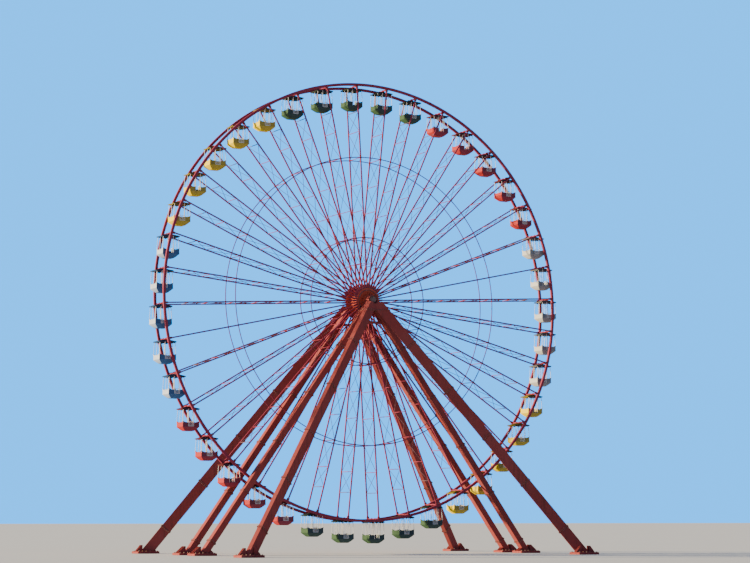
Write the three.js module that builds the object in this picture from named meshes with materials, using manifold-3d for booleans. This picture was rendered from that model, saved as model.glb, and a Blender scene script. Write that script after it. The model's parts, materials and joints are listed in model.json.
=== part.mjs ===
// Ferris wheel with forty open gondolas, as a 1:2 scale model in millimetres.
// X runs across the wheel, Y along its axle with the front at -Y, Z up from the feet.
import * as THREE from 'three';
import { mergeVertices } from 'three/addons/utils/BufferGeometryUtils.js';
import Module from 'manifold-3d';

const wasm = await Module();
wasm.setup();

// Scale and clearances
const MODEL_SCALE = 0.5;
const METRE = 1000 * MODEL_SCALE;
const SEAT_GAP = 0.3;

// Wheel
const HUB_HEIGHT = 24.0 * METRE;
const RIM_OUTER_RADIUS = 21.0 * METRE;
const RIM_TUBE = 0.25 * METRE;
const RIM_SEGMENTS = 80;
const SIDE_OFFSET = 1.13 * METRE;
const SPOKE_COUNT = 40;
const FIRST_SPOKE_ANGLE = THREE.MathUtils.degToRad(93.27);
const SPOKE_SIZE = 0.12 * METRE;
const OUTER_RING_RADIUS = 13.8 * METRE;
const INNER_RING_RADIUS = 6.05 * METRE;
const RING_TUBE = 0.09 * METRE;
const FLANGE_RADIUS = 1.2 * METRE;
const FLANGE_THICKNESS = 0.16 * METRE;

// Hub, axle and bearings
const AXLE_RADIUS = 0.3 * METRE;
const AXLE_HALF_LENGTH = 2.25 * METRE;
const DRUM_RADIUS = 0.88 * METRE;
const HUB_SIDES = 24;
const BEARING_RADIUS = 0.43 * METRE;
const BEARING_INNER_Y = 1.42 * METRE;
const BEARING_OUTER_Y = 2.15 * METRE;

// Gondola, measured from its pivot
const PIVOT_RADIUS = 20.76 * METRE;
const PIVOT_BAR = 0.11 * METRE;
const TUB_LENGTH = 1.66 * METRE;
const TUB_WIDTH = 1.5 * METRE;
const TUB_WALL = 0.05 * METRE;
const TUB_CORNER_TOP = -1.4 * METRE;
const TUB_CORNER_REACH = 0.14 * METRE;
const TUB_TOP = -1.5 * METRE;
const TUB_KNEE = -1.9 * METRE;
const TUB_BOTTOM = -2.29 * METRE;
const TUB_BOTTOM_LENGTH = 0.84 * METRE;
const TUB_BOTTOM_WIDTH = 0.74 * METRE;
const FLOOR_HEIGHT = -2.21 * METRE;
const DOOR_WIDTH = 0.44 * METRE;
const DOOR_SILL = -1.87 * METRE;
const POST_SIZE = 0.036 * METRE;
const CANOPY_LENGTH = 1.74 * METRE;
const CANOPY_WIDTH = 1.5 * METRE;
const CANOPY_NOTCH = 0.07 * METRE;
const CANOPY_EDGE = -0.36 * METRE;
const CANOPY_EAVES = -0.24 * METRE;
const CANOPY_PEAK = -0.04 * METRE;
const CANOPY_PEAK_SIZE = 0.3 * METRE;

// Towers: on each side two inner legs in one upright plane and two outer legs raked outwards.
// Heights here are measured from the axle, and the legs' centre lines meet under it.
const HEAD_INNER_Y = 1.42 * METRE;
const HEAD_BOTTOM = -1.05 * METRE;
const HEAD_TOP = 0.05 * METRE;
const OUTER_STUB_TOP = -0.25 * METRE;
const HEAD_CORE = [
  { height: HEAD_BOTTOM, halfLength: 0.7 * METRE, outerY: 2.75 * METRE },
  { height: -0.4 * METRE, halfLength: 0.5 * METRE, outerY: 2.4 * METRE },
  { height: HEAD_TOP, halfLength: 0.46 * METRE, outerY: 2.2 * METRE },
];
const LEG_SPREAD = 0.715;
const INNER_LEG_Y = 1.78 * METRE;
const INNER_LEG_WIDTH = 0.58 * METRE;
const INNER_LEG_DEPTH = 0.72 * METRE;
const OUTER_LEG_Y = 2.36 * METRE;
const OUTER_LEG_RAKE = 0.4;
const OUTER_LEG_WIDTH = 0.98 * METRE;
const OUTER_LEG_DEPTH = 0.46 * METRE;
const TIE_HEIGHT = -2.15 * METRE;
const TIE_SIZE = 0.24 * METRE;
const FOOT_LENGTH = 2.2 * METRE;
const FOOT_WIDTH = 1.7 * METRE;
const FOOT_THICKNESS = 0.2 * METRE;

// Paint
const wheelRed = new THREE.MeshStandardMaterial({ color: 0x8a2a35, roughness: 0.5, metalness: 0.3 });
const towerRed = new THREE.MeshStandardMaterial({ color: 0x6b3a42, roughness: 0.55, metalness: 0.3 });
const bareSteel = new THREE.MeshStandardMaterial({ color: 0x55585c, roughness: 0.35, metalness: 0.9 });
const gondolaPaints = {
  blue: new THREE.MeshStandardMaterial({ color: 0x2f5f9e, roughness: 0.4, metalness: 0.05 }),
  yellow: new THREE.MeshStandardMaterial({ color: 0xe2b53a, roughness: 0.4, metalness: 0.05 }),
  green: new THREE.MeshStandardMaterial({ color: 0x1f6b4a, roughness: 0.4, metalness: 0.05 }),
  red: new THREE.MeshStandardMaterial({ color: 0xb8303a, roughness: 0.4, metalness: 0.05 }),
  white: new THREE.MeshStandardMaterial({ color: 0xd6d9dc, roughness: 0.4, metalness: 0.05 }),
};
const PAINT_ORDER = ['blue', 'yellow', 'green', 'red', 'white', 'yellow', 'green', 'red'];
const GONDOLAS_PER_PAINT = 5;
const FIRST_GROUP_LEAD = 2;

const wheel = new THREE.Group();
const ferrisWheel = new THREE.Group();

// Turns a closed three.js geometry into a solid that can be joined and cut.
function solidFrom(geometry) {
  const bare = geometry.clone();
  bare.deleteAttribute('normal');
  bare.deleteAttribute('uv');
  const merged = mergeVertices(bare, 1e-4);
  const mesh = new wasm.Mesh({
    numProp: 3,
    vertProperties: new Float32Array(merged.attributes.position.array),
    triVerts: new Uint32Array(merged.index.array),
  });
  return new wasm.Manifold(mesh);
}

function geometryFrom(solid) {
  const mesh = solid.getMesh();
  const geometry = new THREE.BufferGeometry();
  geometry.setAttribute('position', new THREE.BufferAttribute(mesh.vertProperties, 3));
  geometry.setIndex(new THREE.BufferAttribute(mesh.triVerts, 1));
  geometry.computeVertexNormals();
  return geometry;
}

function joinAll(solids) {
  return solids.reduce((whole, solid) => whole.add(solid));
}

function addPiece(parent, name, solid, material) {
  const mesh = new THREE.Mesh(geometryFrom(solid), material);
  mesh.name = name;
  parent.add(mesh);
  return mesh;
}

function boxBetween(low, high) {
  const size = new THREE.Vector3().subVectors(high, low);
  const middle = new THREE.Vector3().addVectors(low, high).multiplyScalar(0.5);
  const geometry = new THREE.BoxGeometry(size.x, size.y, size.z);
  geometry.translate(middle.x, middle.y, middle.z);
  return solidFrom(geometry);
}

// A square-cut beam between two points. The width lies along the side direction.
function beam(start, end, side, width, depth) {
  const along = new THREE.Vector3().subVectors(end, start);
  const length = along.length();
  along.normalize();
  const across = side.clone().addScaledVector(along, -side.dot(along)).normalize();
  const third = new THREE.Vector3().crossVectors(along, across);
  const geometry = new THREE.BoxGeometry(width, depth, length);
  const middle = new THREE.Vector3().addVectors(start, end).multiplyScalar(0.5);
  geometry.applyMatrix4(new THREE.Matrix4().makeBasis(across, third, along));
  geometry.translate(middle.x, middle.y, middle.z);
  return solidFrom(geometry);
}

// A ring round the Y axis with a rectangular section. A spoke meets the middle of a flat.
function ring(innerRadius, outerRadius, lowY, highY, segments) {
  const profile = [
    new THREE.Vector2(innerRadius, lowY),
    new THREE.Vector2(outerRadius, lowY),
    new THREE.Vector2(outerRadius, highY),
    new THREE.Vector2(innerRadius, highY),
    new THREE.Vector2(innerRadius, lowY),
  ];
  const geometry = new THREE.LatheGeometry(profile, segments);
  const toFirstFlat = FIRST_SPOKE_ANGLE - Math.PI / 2 + Math.PI / segments;
  geometry.rotateY(-toFirstFlat);
  return solidFrom(geometry);
}

function disc(radius, lowY, highY, segments, turn = 0) {
  const geometry = new THREE.CylinderGeometry(radius, radius, highY - lowY, segments);
  geometry.rotateY(turn);
  geometry.translate(0, (lowY + highY) / 2, 0);
  return solidFrom(geometry);
}

function spokeAngle(index) {
  return FIRST_SPOKE_ANGLE - (2 * Math.PI * (index - 10)) / SPOKE_COUNT;
}

function onSpoke(index, radius, y) {
  const angle = spokeAngle(index);
  return new THREE.Vector3(radius * Math.cos(angle), y, radius * Math.sin(angle));
}

// One side of the wheel: rim, spokes, two stiffening rings and the hub flange, all welded.
function wheelSide(y) {
  const flangeDepth = FLANGE_THICKNESS / 2;
  const rimInner = RIM_OUTER_RADIUS - RIM_TUBE;
  const parts = [
    ring(rimInner, RIM_OUTER_RADIUS, y - RIM_TUBE / 2, y + RIM_TUBE / 2, RIM_SEGMENTS),
    ring(AXLE_RADIUS + SEAT_GAP * 2, FLANGE_RADIUS, y - flangeDepth, y + flangeDepth, SPOKE_COUNT),
  ];
  for (const radius of [OUTER_RING_RADIUS, INNER_RING_RADIUS]) {
    const half = RING_TUBE / 2;
    parts.push(ring(radius - half, radius + half, y - half, y + half, SPOKE_COUNT));
  }
  const alongY = new THREE.Vector3(0, 1, 0);
  const spokeStart = FLANGE_RADIUS - SPOKE_SIZE;
  const spokeEnd = rimInner + RIM_TUBE / 3;
  for (let index = 0; index < SPOKE_COUNT; index += 1) {
    const start = onSpoke(index, spokeStart, y);
    const end = onSpoke(index, spokeEnd, y);
    parts.push(beam(start, end, alongY, SPOKE_SIZE, SPOKE_SIZE));
  }
  return joinAll(parts);
}

// Builds a shell or block from rings of four corners: half length, half width, height and middle Y.
function stackedRectangles(levels) {
  const positions = [];
  for (const [halfLength, halfWidth, z, middleY = 0] of levels) {
    const lowY = middleY - halfWidth;
    const highY = middleY + halfWidth;
    positions.push(-halfLength, lowY, z, halfLength, lowY, z);
    positions.push(halfLength, highY, z, -halfLength, highY, z);
  }
  const faces = [0, 2, 1, 0, 3, 2];
  for (let level = 0; level < levels.length - 1; level += 1) {
    for (let corner = 0; corner < 4; corner += 1) {
      const a = level * 4 + corner;
      const b = level * 4 + ((corner + 1) % 4);
      faces.push(a, b, b + 4, a, b + 4, a + 4);
    }
  }
  const top = (levels.length - 1) * 4;
  faces.push(top, top + 1, top + 2, top, top + 2, top + 3);
  const geometry = new THREE.BufferGeometry();
  geometry.setAttribute('position', new THREE.Float32BufferAttribute(positions, 3));
  geometry.setIndex(faces);
  return solidFrom(geometry);
}

// An open tub whose top edge dips between its raised corners, with a doorway in the front.
function tub() {
  const innerLength = TUB_LENGTH / 2 - TUB_WALL;
  const innerWidth = TUB_WIDTH / 2 - TUB_WALL;
  const shell = stackedRectangles([
    [TUB_BOTTOM_LENGTH / 2, TUB_BOTTOM_WIDTH / 2, TUB_BOTTOM],
    [TUB_LENGTH / 2, TUB_WIDTH / 2, TUB_KNEE],
    [TUB_LENGTH / 2, TUB_WIDTH / 2, TUB_CORNER_TOP],
    [innerLength, innerWidth, TUB_CORNER_TOP],
    [innerLength, innerWidth, TUB_KNEE],
    [TUB_BOTTOM_LENGTH / 2, TUB_BOTTOM_WIDTH / 2, FLOOR_HEIGHT],
  ]);
  const dipEndX = TUB_LENGTH / 2 - TUB_CORNER_REACH;
  const dipEndY = TUB_WIDTH / 2 - TUB_CORNER_REACH;
  const tipX = (TUB_LENGTH - TUB_WALL) / 2;
  const tipY = (TUB_WIDTH - TUB_WALL) / 2;
  const aboveTub = TUB_CORNER_TOP + METRE;
  const frontAndRearDips = stackedRectangles([
    [dipEndX, TUB_WIDTH, TUB_TOP],
    [tipX, TUB_WIDTH, TUB_CORNER_TOP],
    [tipX, TUB_WIDTH, aboveTub],
  ]);
  const sideDips = stackedRectangles([
    [TUB_LENGTH, dipEndY, TUB_TOP],
    [TUB_LENGTH, tipY, TUB_CORNER_TOP],
    [TUB_LENGTH, tipY, aboveTub],
  ]);
  const doorway = boxBetween(
    new THREE.Vector3(-DOOR_WIDTH / 2, -TUB_WIDTH, DOOR_SILL),
    new THREE.Vector3(DOOR_WIDTH / 2, -TUB_WIDTH / 4, 0),
  );
  return shell.subtract(frontAndRearDips).subtract(sideDips).subtract(doorway);
}

// A low hipped roof on a deep edge whose corners end in points.
function canopy() {
  const x = CANOPY_LENGTH / 2;
  const y = CANOPY_WIDTH / 2;
  const outline = new THREE.Shape([
    new THREE.Vector2(x, y),
    new THREE.Vector2(0, y - CANOPY_NOTCH),
    new THREE.Vector2(-x, y),
    new THREE.Vector2(CANOPY_NOTCH - x, 0),
    new THREE.Vector2(-x, -y),
    new THREE.Vector2(0, CANOPY_NOTCH - y),
    new THREE.Vector2(x, -y),
    new THREE.Vector2(x - CANOPY_NOTCH, 0),
  ]);
  const depth = CANOPY_EAVES - CANOPY_EDGE;
  const geometry = new THREE.ExtrudeGeometry(outline, { depth, bevelEnabled: false });
  geometry.translate(0, 0, CANOPY_EDGE);
  const hipX = x - CANOPY_NOTCH * 1.5;
  const hipY = y - CANOPY_NOTCH * 1.5;
  const hip = stackedRectangles([
    [hipX, hipY, CANOPY_EAVES - depth / 2],
    [hipX, hipY, CANOPY_EAVES],
    [CANOPY_PEAK_SIZE / 2, CANOPY_PEAK_SIZE / 2, CANOPY_PEAK],
  ]);
  return solidFrom(geometry).add(hip);
}

function gondola() {
  const parts = [tub(), canopy()];
  const postX = (TUB_LENGTH - TUB_WALL) / 2;
  const postY = (TUB_WIDTH - TUB_WALL) / 2;
  const half = POST_SIZE / 2;
  for (const x of [-postX, postX]) {
    for (const y of [-postY, postY]) {
      parts.push(boxBetween(
        new THREE.Vector3(x - half, y - half, TUB_TOP - POST_SIZE),
        new THREE.Vector3(x + half, y + half, CANOPY_EDGE + POST_SIZE),
      ));
    }
  }
  const barHalf = PIVOT_BAR / 2;
  const barEnd = SIDE_OFFSET - RIM_TUBE / 2 - SEAT_GAP;
  parts.push(boxBetween(
    new THREE.Vector3(-barHalf, -barEnd, -barHalf),
    new THREE.Vector3(barHalf, barEnd, barHalf),
  ));
  return joinAll(parts);
}

// The straight shaft of a leg, from above the axle to below the ground.
// The Y value is where its centre line meets the axle's height; the rake is how far it leans out.
function legShaft(xSign, axleY, rake, width, depth) {
  const meet = new THREE.Vector3(0, axleY, HUB_HEIGHT);
  const down = new THREE.Vector3(xSign * LEG_SPREAD, rake, -1);
  const top = meet.clone().addScaledVector(down, -METRE);
  const bottom = meet.clone().addScaledVector(down, HUB_HEIGHT * 1.1);
  const side = new THREE.Vector3(xSign * LEG_SPREAD, rake, 0);
  return beam(top, bottom, side, width, depth);
}

// A level slice of the space round one tower, its heights measured from the ground.
function slice(low, high) {
  return boxBetween(
    new THREE.Vector3(-20 * METRE, -20 * METRE, low),
    new THREE.Vector3(20 * METRE, 20 * METRE, high),
  );
}

// A leg from the underside of the tower head down to the ground, on a foot plate.
function leg(xSign, axleY, rake, width, depth) {
  const shaft = legShaft(xSign, axleY, rake, width, depth);
  const footX = xSign * LEG_SPREAD * HUB_HEIGHT;
  const footY = axleY + rake * HUB_HEIGHT;
  const plate = boxBetween(
    new THREE.Vector3(footX - FOOT_LENGTH / 2, footY - FOOT_WIDTH / 2, 0),
    new THREE.Vector3(footX + FOOT_LENGTH / 2, footY + FOOT_WIDTH / 2, FOOT_THICKNESS),
  );
  return shaft.intersect(slice(0, HUB_HEIGHT + HEAD_BOTTOM - SEAT_GAP)).add(plate);
}

// A beam between the two inner legs of a tower, its ends sloped like the faces that they meet.
function towerTie(ySign) {
  const slantedHalfWidth = (INNER_LEG_WIDTH / 2 + SEAT_GAP) * Math.hypot(1, LEG_SPREAD);
  const top = TIE_HEIGHT + TIE_SIZE / 2;
  const bottom = TIE_HEIGHT - TIE_SIZE / 2;
  const topReach = LEG_SPREAD * -top - slantedHalfWidth;
  const bottomReach = LEG_SPREAD * -bottom - slantedHalfWidth;
  const outline = new THREE.Shape([
    new THREE.Vector2(-bottomReach, bottom),
    new THREE.Vector2(bottomReach, bottom),
    new THREE.Vector2(topReach, top),
    new THREE.Vector2(-topReach, top),
  ]);
  const geometry = new THREE.ExtrudeGeometry(outline, { depth: TIE_SIZE, bevelEnabled: false });
  geometry.rotateX(Math.PI / 2);
  geometry.translate(0, ySign * INNER_LEG_Y + TIE_SIZE / 2, 0);
  return solidFrom(geometry);
}

// The head is the upper ends of the four legs, run on until they meet, and a core between them
// that narrows upwards to a saddle: the bearing lies in the half-round seat in its top.
function towerHead(ySign) {
  const core = stackedRectangles(HEAD_CORE.map(({ height, halfLength, outerY }) => [
    halfLength,
    (outerY - HEAD_INNER_Y) / 2,
    HUB_HEIGHT + height,
    (ySign * (outerY + HEAD_INNER_Y)) / 2,
  ]));
  const parts = [core];
  for (const xSign of [-1, 1]) {
    const inner = legShaft(xSign, ySign * INNER_LEG_Y, 0, INNER_LEG_WIDTH, INNER_LEG_DEPTH);
    const outerRake = ySign * OUTER_LEG_RAKE;
    const outer = legShaft(xSign, ySign * OUTER_LEG_Y, outerRake, OUTER_LEG_WIDTH, OUTER_LEG_DEPTH);
    parts.push(inner.intersect(slice(HUB_HEIGHT + HEAD_BOTTOM, HUB_HEIGHT + HEAD_TOP)));
    parts.push(outer.intersect(slice(HUB_HEIGHT + HEAD_BOTTOM, HUB_HEIGHT + OUTER_STUB_TOP)));
  }
  const seat = disc(BEARING_RADIUS + SEAT_GAP * 2, -5 * METRE, 5 * METRE, HUB_SIDES);
  return joinAll(parts).subtract(seat.translate([0, 0, HUB_HEIGHT]));
}

// The bore's flats stand opposite the axle's corners at rest, and clear them as the axle turns.
function bearing(ySign) {
  const lowY = Math.min(ySign * BEARING_INNER_Y, ySign * BEARING_OUTER_Y);
  const highY = Math.max(ySign * BEARING_INNER_Y, ySign * BEARING_OUTER_Y);
  const boreRadius = (AXLE_RADIUS + SEAT_GAP) / Math.cos(Math.PI / HUB_SIDES);
  const hole = disc(boreRadius, lowY - METRE, highY + METRE, HUB_SIDES, Math.PI / HUB_SIDES);
  return disc(BEARING_RADIUS, lowY, highY, HUB_SIDES).subtract(hole);
}

// Rotating parts, built round the hub
wheel.position.z = HUB_HEIGHT;
addPiece(wheel, 'front_wheel_side', wheelSide(-SIDE_OFFSET), wheelRed);
addPiece(wheel, 'rear_wheel_side', wheelSide(SIDE_OFFSET), wheelRed);
const drumEnd = SIDE_OFFSET - FLANGE_THICKNESS / 2 - SEAT_GAP;
const drumHole = disc(AXLE_RADIUS + SEAT_GAP * 2, -SIDE_OFFSET, SIDE_OFFSET, HUB_SIDES);
addPiece(wheel, 'hub_drum', disc(DRUM_RADIUS, -drumEnd, drumEnd, HUB_SIDES).subtract(drumHole), wheelRed);
addPiece(wheel, 'axle', disc(AXLE_RADIUS, -AXLE_HALF_LENGTH, AXLE_HALF_LENGTH, HUB_SIDES), bareSteel);
ferrisWheel.add(wheel);

// Gondolas, numbered clockwise as seen from the front, starting at the left.
// They are painted in groups, and the first group starts a few gondolas before number one.
const gondolaSolid = gondola();
for (let index = 0; index < SPOKE_COUNT; index += 1) {
  const paintIndex = Math.floor(((index + FIRST_GROUP_LEAD) % SPOKE_COUNT) / GONDOLAS_PER_PAINT);
  const paint = gondolaPaints[PAINT_ORDER[paintIndex]];
  const name = `gondola_${String(index + 1).padStart(2, '0')}`;
  const piece = addPiece(ferrisWheel, name, gondolaSolid, paint);
  piece.position.copy(onSpoke(index, PIVOT_RADIUS, 0));
  piece.position.z += HUB_HEIGHT;
}

// Towers
for (const [sideName, ySign] of [['front', -1], ['rear', 1]]) {
  addPiece(ferrisWheel, `${sideName}_tower_head`, towerHead(ySign), towerRed);
  addPiece(ferrisWheel, `${sideName}_bearing`, bearing(ySign), towerRed).position.z = HUB_HEIGHT;
  for (const [handName, xSign] of [['left', -1], ['right', 1]]) {
    const innerY = ySign * INNER_LEG_Y;
    const outerY = ySign * OUTER_LEG_Y;
    const outerRake = ySign * OUTER_LEG_RAKE;
    const inner = leg(xSign, innerY, 0, INNER_LEG_WIDTH, INNER_LEG_DEPTH);
    const outer = leg(xSign, outerY, outerRake, OUTER_LEG_WIDTH, OUTER_LEG_DEPTH);
    addPiece(ferrisWheel, `${sideName}_${handName}_inner_leg`, inner, towerRed);
    addPiece(ferrisWheel, `${sideName}_${handName}_outer_leg`, outer, towerRed);
  }
  addPiece(ferrisWheel, `${sideName}_tower_tie`, towerTie(ySign), towerRed).position.z = HUB_HEIGHT;
}

export default ferrisWheel;
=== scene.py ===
import json
from functools import partial
from math import cos, hypot, pi, radians, sin

import bmesh
import bpy
from bpy.props import FloatProperty, FloatVectorProperty, IntProperty, PointerProperty
from mathutils import Matrix, Vector

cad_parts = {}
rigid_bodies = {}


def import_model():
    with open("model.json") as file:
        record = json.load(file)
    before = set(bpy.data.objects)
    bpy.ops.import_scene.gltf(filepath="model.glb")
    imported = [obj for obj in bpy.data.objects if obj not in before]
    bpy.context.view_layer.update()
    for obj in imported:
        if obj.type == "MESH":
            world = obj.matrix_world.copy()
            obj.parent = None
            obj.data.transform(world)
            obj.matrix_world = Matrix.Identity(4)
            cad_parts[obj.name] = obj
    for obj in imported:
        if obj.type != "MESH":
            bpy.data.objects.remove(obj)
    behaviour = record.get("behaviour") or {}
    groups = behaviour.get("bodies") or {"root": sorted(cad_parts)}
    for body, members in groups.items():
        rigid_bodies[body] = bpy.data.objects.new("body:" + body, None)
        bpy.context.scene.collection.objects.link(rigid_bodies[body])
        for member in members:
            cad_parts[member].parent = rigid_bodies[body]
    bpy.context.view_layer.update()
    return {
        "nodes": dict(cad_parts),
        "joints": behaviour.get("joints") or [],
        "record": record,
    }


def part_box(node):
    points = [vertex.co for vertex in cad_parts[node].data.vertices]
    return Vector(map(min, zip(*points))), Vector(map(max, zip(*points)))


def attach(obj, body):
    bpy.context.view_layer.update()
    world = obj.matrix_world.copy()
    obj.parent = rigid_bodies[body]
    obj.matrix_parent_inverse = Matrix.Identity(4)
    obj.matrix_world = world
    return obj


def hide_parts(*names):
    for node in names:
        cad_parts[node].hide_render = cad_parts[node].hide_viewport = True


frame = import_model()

bl_info = {
    "name": "Ferris Wheel Looks",
    "version": (1, 0, 0),
    "blender": (4, 5, 0),
    "location": "3D View > Sidebar > Ferris Wheel",
    "description": "Finishes the steelwork, hub, towers and gondolas of a ferris wheel",
    "category": "Object",
}

# Frame
METRE = 0.5  # the model is half the real size: sizes are real metres times this
WHEEL_JOINT = "wheel_spin"
HUB = Vector(next(joint["pos_m"] for joint in frame["joints"] if joint["name"] == WHEEL_JOINT))
PIVOTS = {joint["child"]: Vector(joint["pos_m"]) for joint in frame["joints"] if joint["parent"] == "wheel"}
SLOTS = {part["node"]: part["material_slot"] for part in frame["record"]["subparts"]}
SIDES = (("front", -1), ("rear", 1))
HANDS = (("left", -1), ("right", 1))

# Edges and faces
SHARP_ANGLE = radians(38)
ROUNDED_ANGLE = radians(20)
FLAT_ANGLE = radians(0.5)
MERGE_DISTANCE = 0.00005
FACE_WEIGHT = 80

# Wheel
SIDE_LOW, SIDE_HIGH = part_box("rear_wheel_side")
SIDE_OFFSET = (SIDE_LOW.y + SIDE_HIGH.y) / 2
RIM_TUBE = SIDE_HIGH.y - SIDE_LOW.y
RIM_RADIUS = SIDE_HIGH.z - HUB.z - RIM_TUBE / 2
RIM_INNER_RADIUS = RIM_RADIUS - RIM_TUBE / 2
SPOKE_COUNT = 40
FIRST_SPOKE_TURN = radians(-3.27 - 90)
PIVOT_RADIUS = 20.76 * METRE
FLANGE_RADIUS = 1.2 * METRE
FLANGE_THICKNESS = 0.16 * METRE
RING_RADII = (13.8 * METRE, 6.05 * METRE)
BAY_LENGTH = 2.55 * METRE
BAY_COUNT = 5
FIRST_STRUT_RADIUS = 3.6 * METRE
LAST_STRUT_RADIUS = 18.3 * METRE
BAR_GAP = 0.0004  # between a pivot bar's end and the rim, in the model

# Bolted plates on each spoke at the hub, the rim and the rings: radius, length, width and rows of bolts
SPOKE_PLATES = (
    (FLANGE_RADIUS + 0.06 * METRE, 0.62 * METRE, 0.16 * METRE, 3),
    (RIM_INNER_RADIUS - 0.06 * METRE, 0.3 * METRE, 0.17 * METRE, 3),
    *((radius, 0.2 * METRE, 0.13 * METRE, 2) for radius in RING_RADII),
)

# Hub
AXLE_RADIUS = 0.3 * METRE
AXLE_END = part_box("axle")[1].y
DRUM_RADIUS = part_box("hub_drum")[1].x - 0.03 * METRE
BEARING_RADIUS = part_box("rear_bearing")[1].x
BEARING_INNER_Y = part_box("rear_bearing")[0].y
BEARING_OUTER_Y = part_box("rear_bearing")[1].y
HUB_RIBS = 20

# Tower legs: width, depth, place at the axle's height and outward lean
LEG_SPREAD = 0.715
INNER_LEG = {"width": 0.58 * METRE, "depth": 0.72 * METRE, "y": 1.78 * METRE, "rake": 0.0}
OUTER_LEG = {"width": 0.98 * METRE, "depth": 0.46 * METRE, "y": 2.36 * METRE, "rake": 0.4}
FOOT_LENGTH = 2.2 * METRE
FOOT_WIDTH = 1.7 * METRE
FOOT_THICKNESS = 0.2 * METRE
GUSSET_HEIGHT = 0.62 * METRE
LOWEST_JOINT = 1.2 * METRE

# Camera at the photograph's angle, tipped down a little so that the feet are in view
CAMERA_PLACE = Vector((-45.829, -87.852, 1.652))
CAMERA_AZIMUTH = radians(27.9005)
CAMERA_PITCH = radians(6.516)
CAMERA_LENS = 99.74
SENSOR_WIDTH = 36.0
VIEW_DEPTH = 2000
FLOOR_SIZE = 600.0
KEY_SOURCE = Vector((-1.0, 0.62, 0.25))

# Wear and dirt
MOTTLE = (0.55, 0.5, 0.5, 1.0)
RAIN_STREAK = (0.06, 0.035, 0.03, 1.0)
DARK_RUST = (0.12, 0.035, 0.012, 1.0)
LIGHT_RUST = (0.32, 0.11, 0.03, 1.0)
FASTENER_RUST = (0.2, 0.07, 0.03, 1.0)
# Painted highlight: a pale tint for the sun's glare on the gondola ends that face the key light.
PAINTED_GLARE = (0.8, 0.78, 0.74, 1.0)
# Painted shade: a bluish tint for sky-lit shade on the gondolas' door and back sides.
PAINTED_SKY_SHADE = (0.045, 0.065, 0.14, 1.0)
# Dark tint for the rain runs and for the painted shade above the tub's knee.
GRIME_AND_SHADE = (0.03, 0.03, 0.035, 1.0)
GREASE = (0.07, 0.045, 0.03, 1.0)
TREAD_LOW = (0.16, 0.16, 0.16, 1.0)
TREAD_HIGH = (0.24, 0.24, 0.23, 1.0)
TREAD_DIRT = (0.09, 0.075, 0.06, 1.0)
GREY = (0.5, 0.5, 0.5, 1.0)


def length(label, description, default):
    return FloatProperty(name=label, description=description, default=default, min=0.0001, unit="LENGTH")


def strength(label, description, default):
    return FloatProperty(name=label, description=description, default=default, min=0.0)


def colour(label, description, default):
    return FloatVectorProperty(name=label, description=description, default=default, size=3,
                               min=0.0, max=1.0, subtype="COLOR")


class WheelSettings(bpy.types.PropertyGroup):
    """Sizes and colours of the turning steelwork."""
    spoke_width: length("Spoke width", "Side of a spoke's square tube", 0.12 * METRE)
    ring_tube: length("Ring tube", "Diameter of the two stiffening rings", 0.085 * METRE)
    strut_tube: length("Strut tube", "Diameter of the struts between the two sides", 0.07 * METRE)
    rod: length("Brace rod", "Diameter of the crossed rods between the struts", 0.042 * METRE)
    bolt: length("Bolt size", "Width of a bolt head across its corners", 0.045 * METRE)
    rim_steps: IntProperty(name="Rim steps", description="Segments round the rim", default=320, min=40)
    paint: colour("Wheel paint", "Colour of the rims and spokes", (0.26, 0.038, 0.072))
    # Painted light: the hub gets a lighter, more orange copy of the wheel paint, standing for sun on the hub;
    # its extra rust is real.
    hub_paint: colour("Hub paint", "Colour of the hub's flanges and drum", (0.5, 0.085, 0.05))
    rod_paint: colour("Rod paint", "Dull paint of the crossed rods", (0.15, 0.085, 0.11))
    steel: colour("Bare steel", "Colour of the axle and the turned faces", (0.24, 0.14, 0.12))
    fastener: colour("Fasteners", "Colour of bolts and nuts", (0.2, 0.17, 0.155))


class TowerSettings(bpy.types.PropertyGroup):
    """Sizes and colours of the standing steelwork."""
    edge_radius: length("Edge radius", "Rounding of the box girders' edges", 0.03 * METRE)
    joint_spacing: length("Joint spacing", "Distance between the bolted joints of a leg", 5.6 * METRE)
    joint_collar: length("Joint collar", "How far a joint's plates stand out of the leg", 0.045 * METRE)
    plate: length("Plate thickness", "Thickness of joint plates and gussets", 0.05 * METRE)
    bolt: length("Bolt size", "Width of a bolt head across its corners", 0.07 * METRE)
    paint: colour("Tower paint", "Colour of the legs and heads", (0.27, 0.052, 0.05))


class GondolaSettings(bpy.types.PropertyGroup):
    """Sizes and colours of the gondolas."""
    post: length("Post", "Diameter of the posts between tub and roof", 0.048 * METRE)
    bar: length("Pivot bar", "Diameter of the bar that carries a gondola", 0.15 * METRE)
    blue: colour("Blue", "Gelcoat of the blue gondolas", (0.05, 0.175, 0.44))
    yellow: colour("Yellow", "Gelcoat of the yellow gondolas", (0.68, 0.52, 0.002))
    green: colour("Green", "Gelcoat of the green gondolas", (0.032, 0.072, 0.034))
    red: colour("Red", "Gelcoat of the red gondolas", (0.34, 0.024, 0.026))
    white: colour("White", "Gelcoat of the white gondolas", (0.4, 0.41, 0.42))
    post_paint: colour("Post paint", "Paint of the posts and gates", (0.78, 0.8, 0.82))
    seat: colour("Seats", "Moulded seats", (0.42, 0.4, 0.36))


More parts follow.
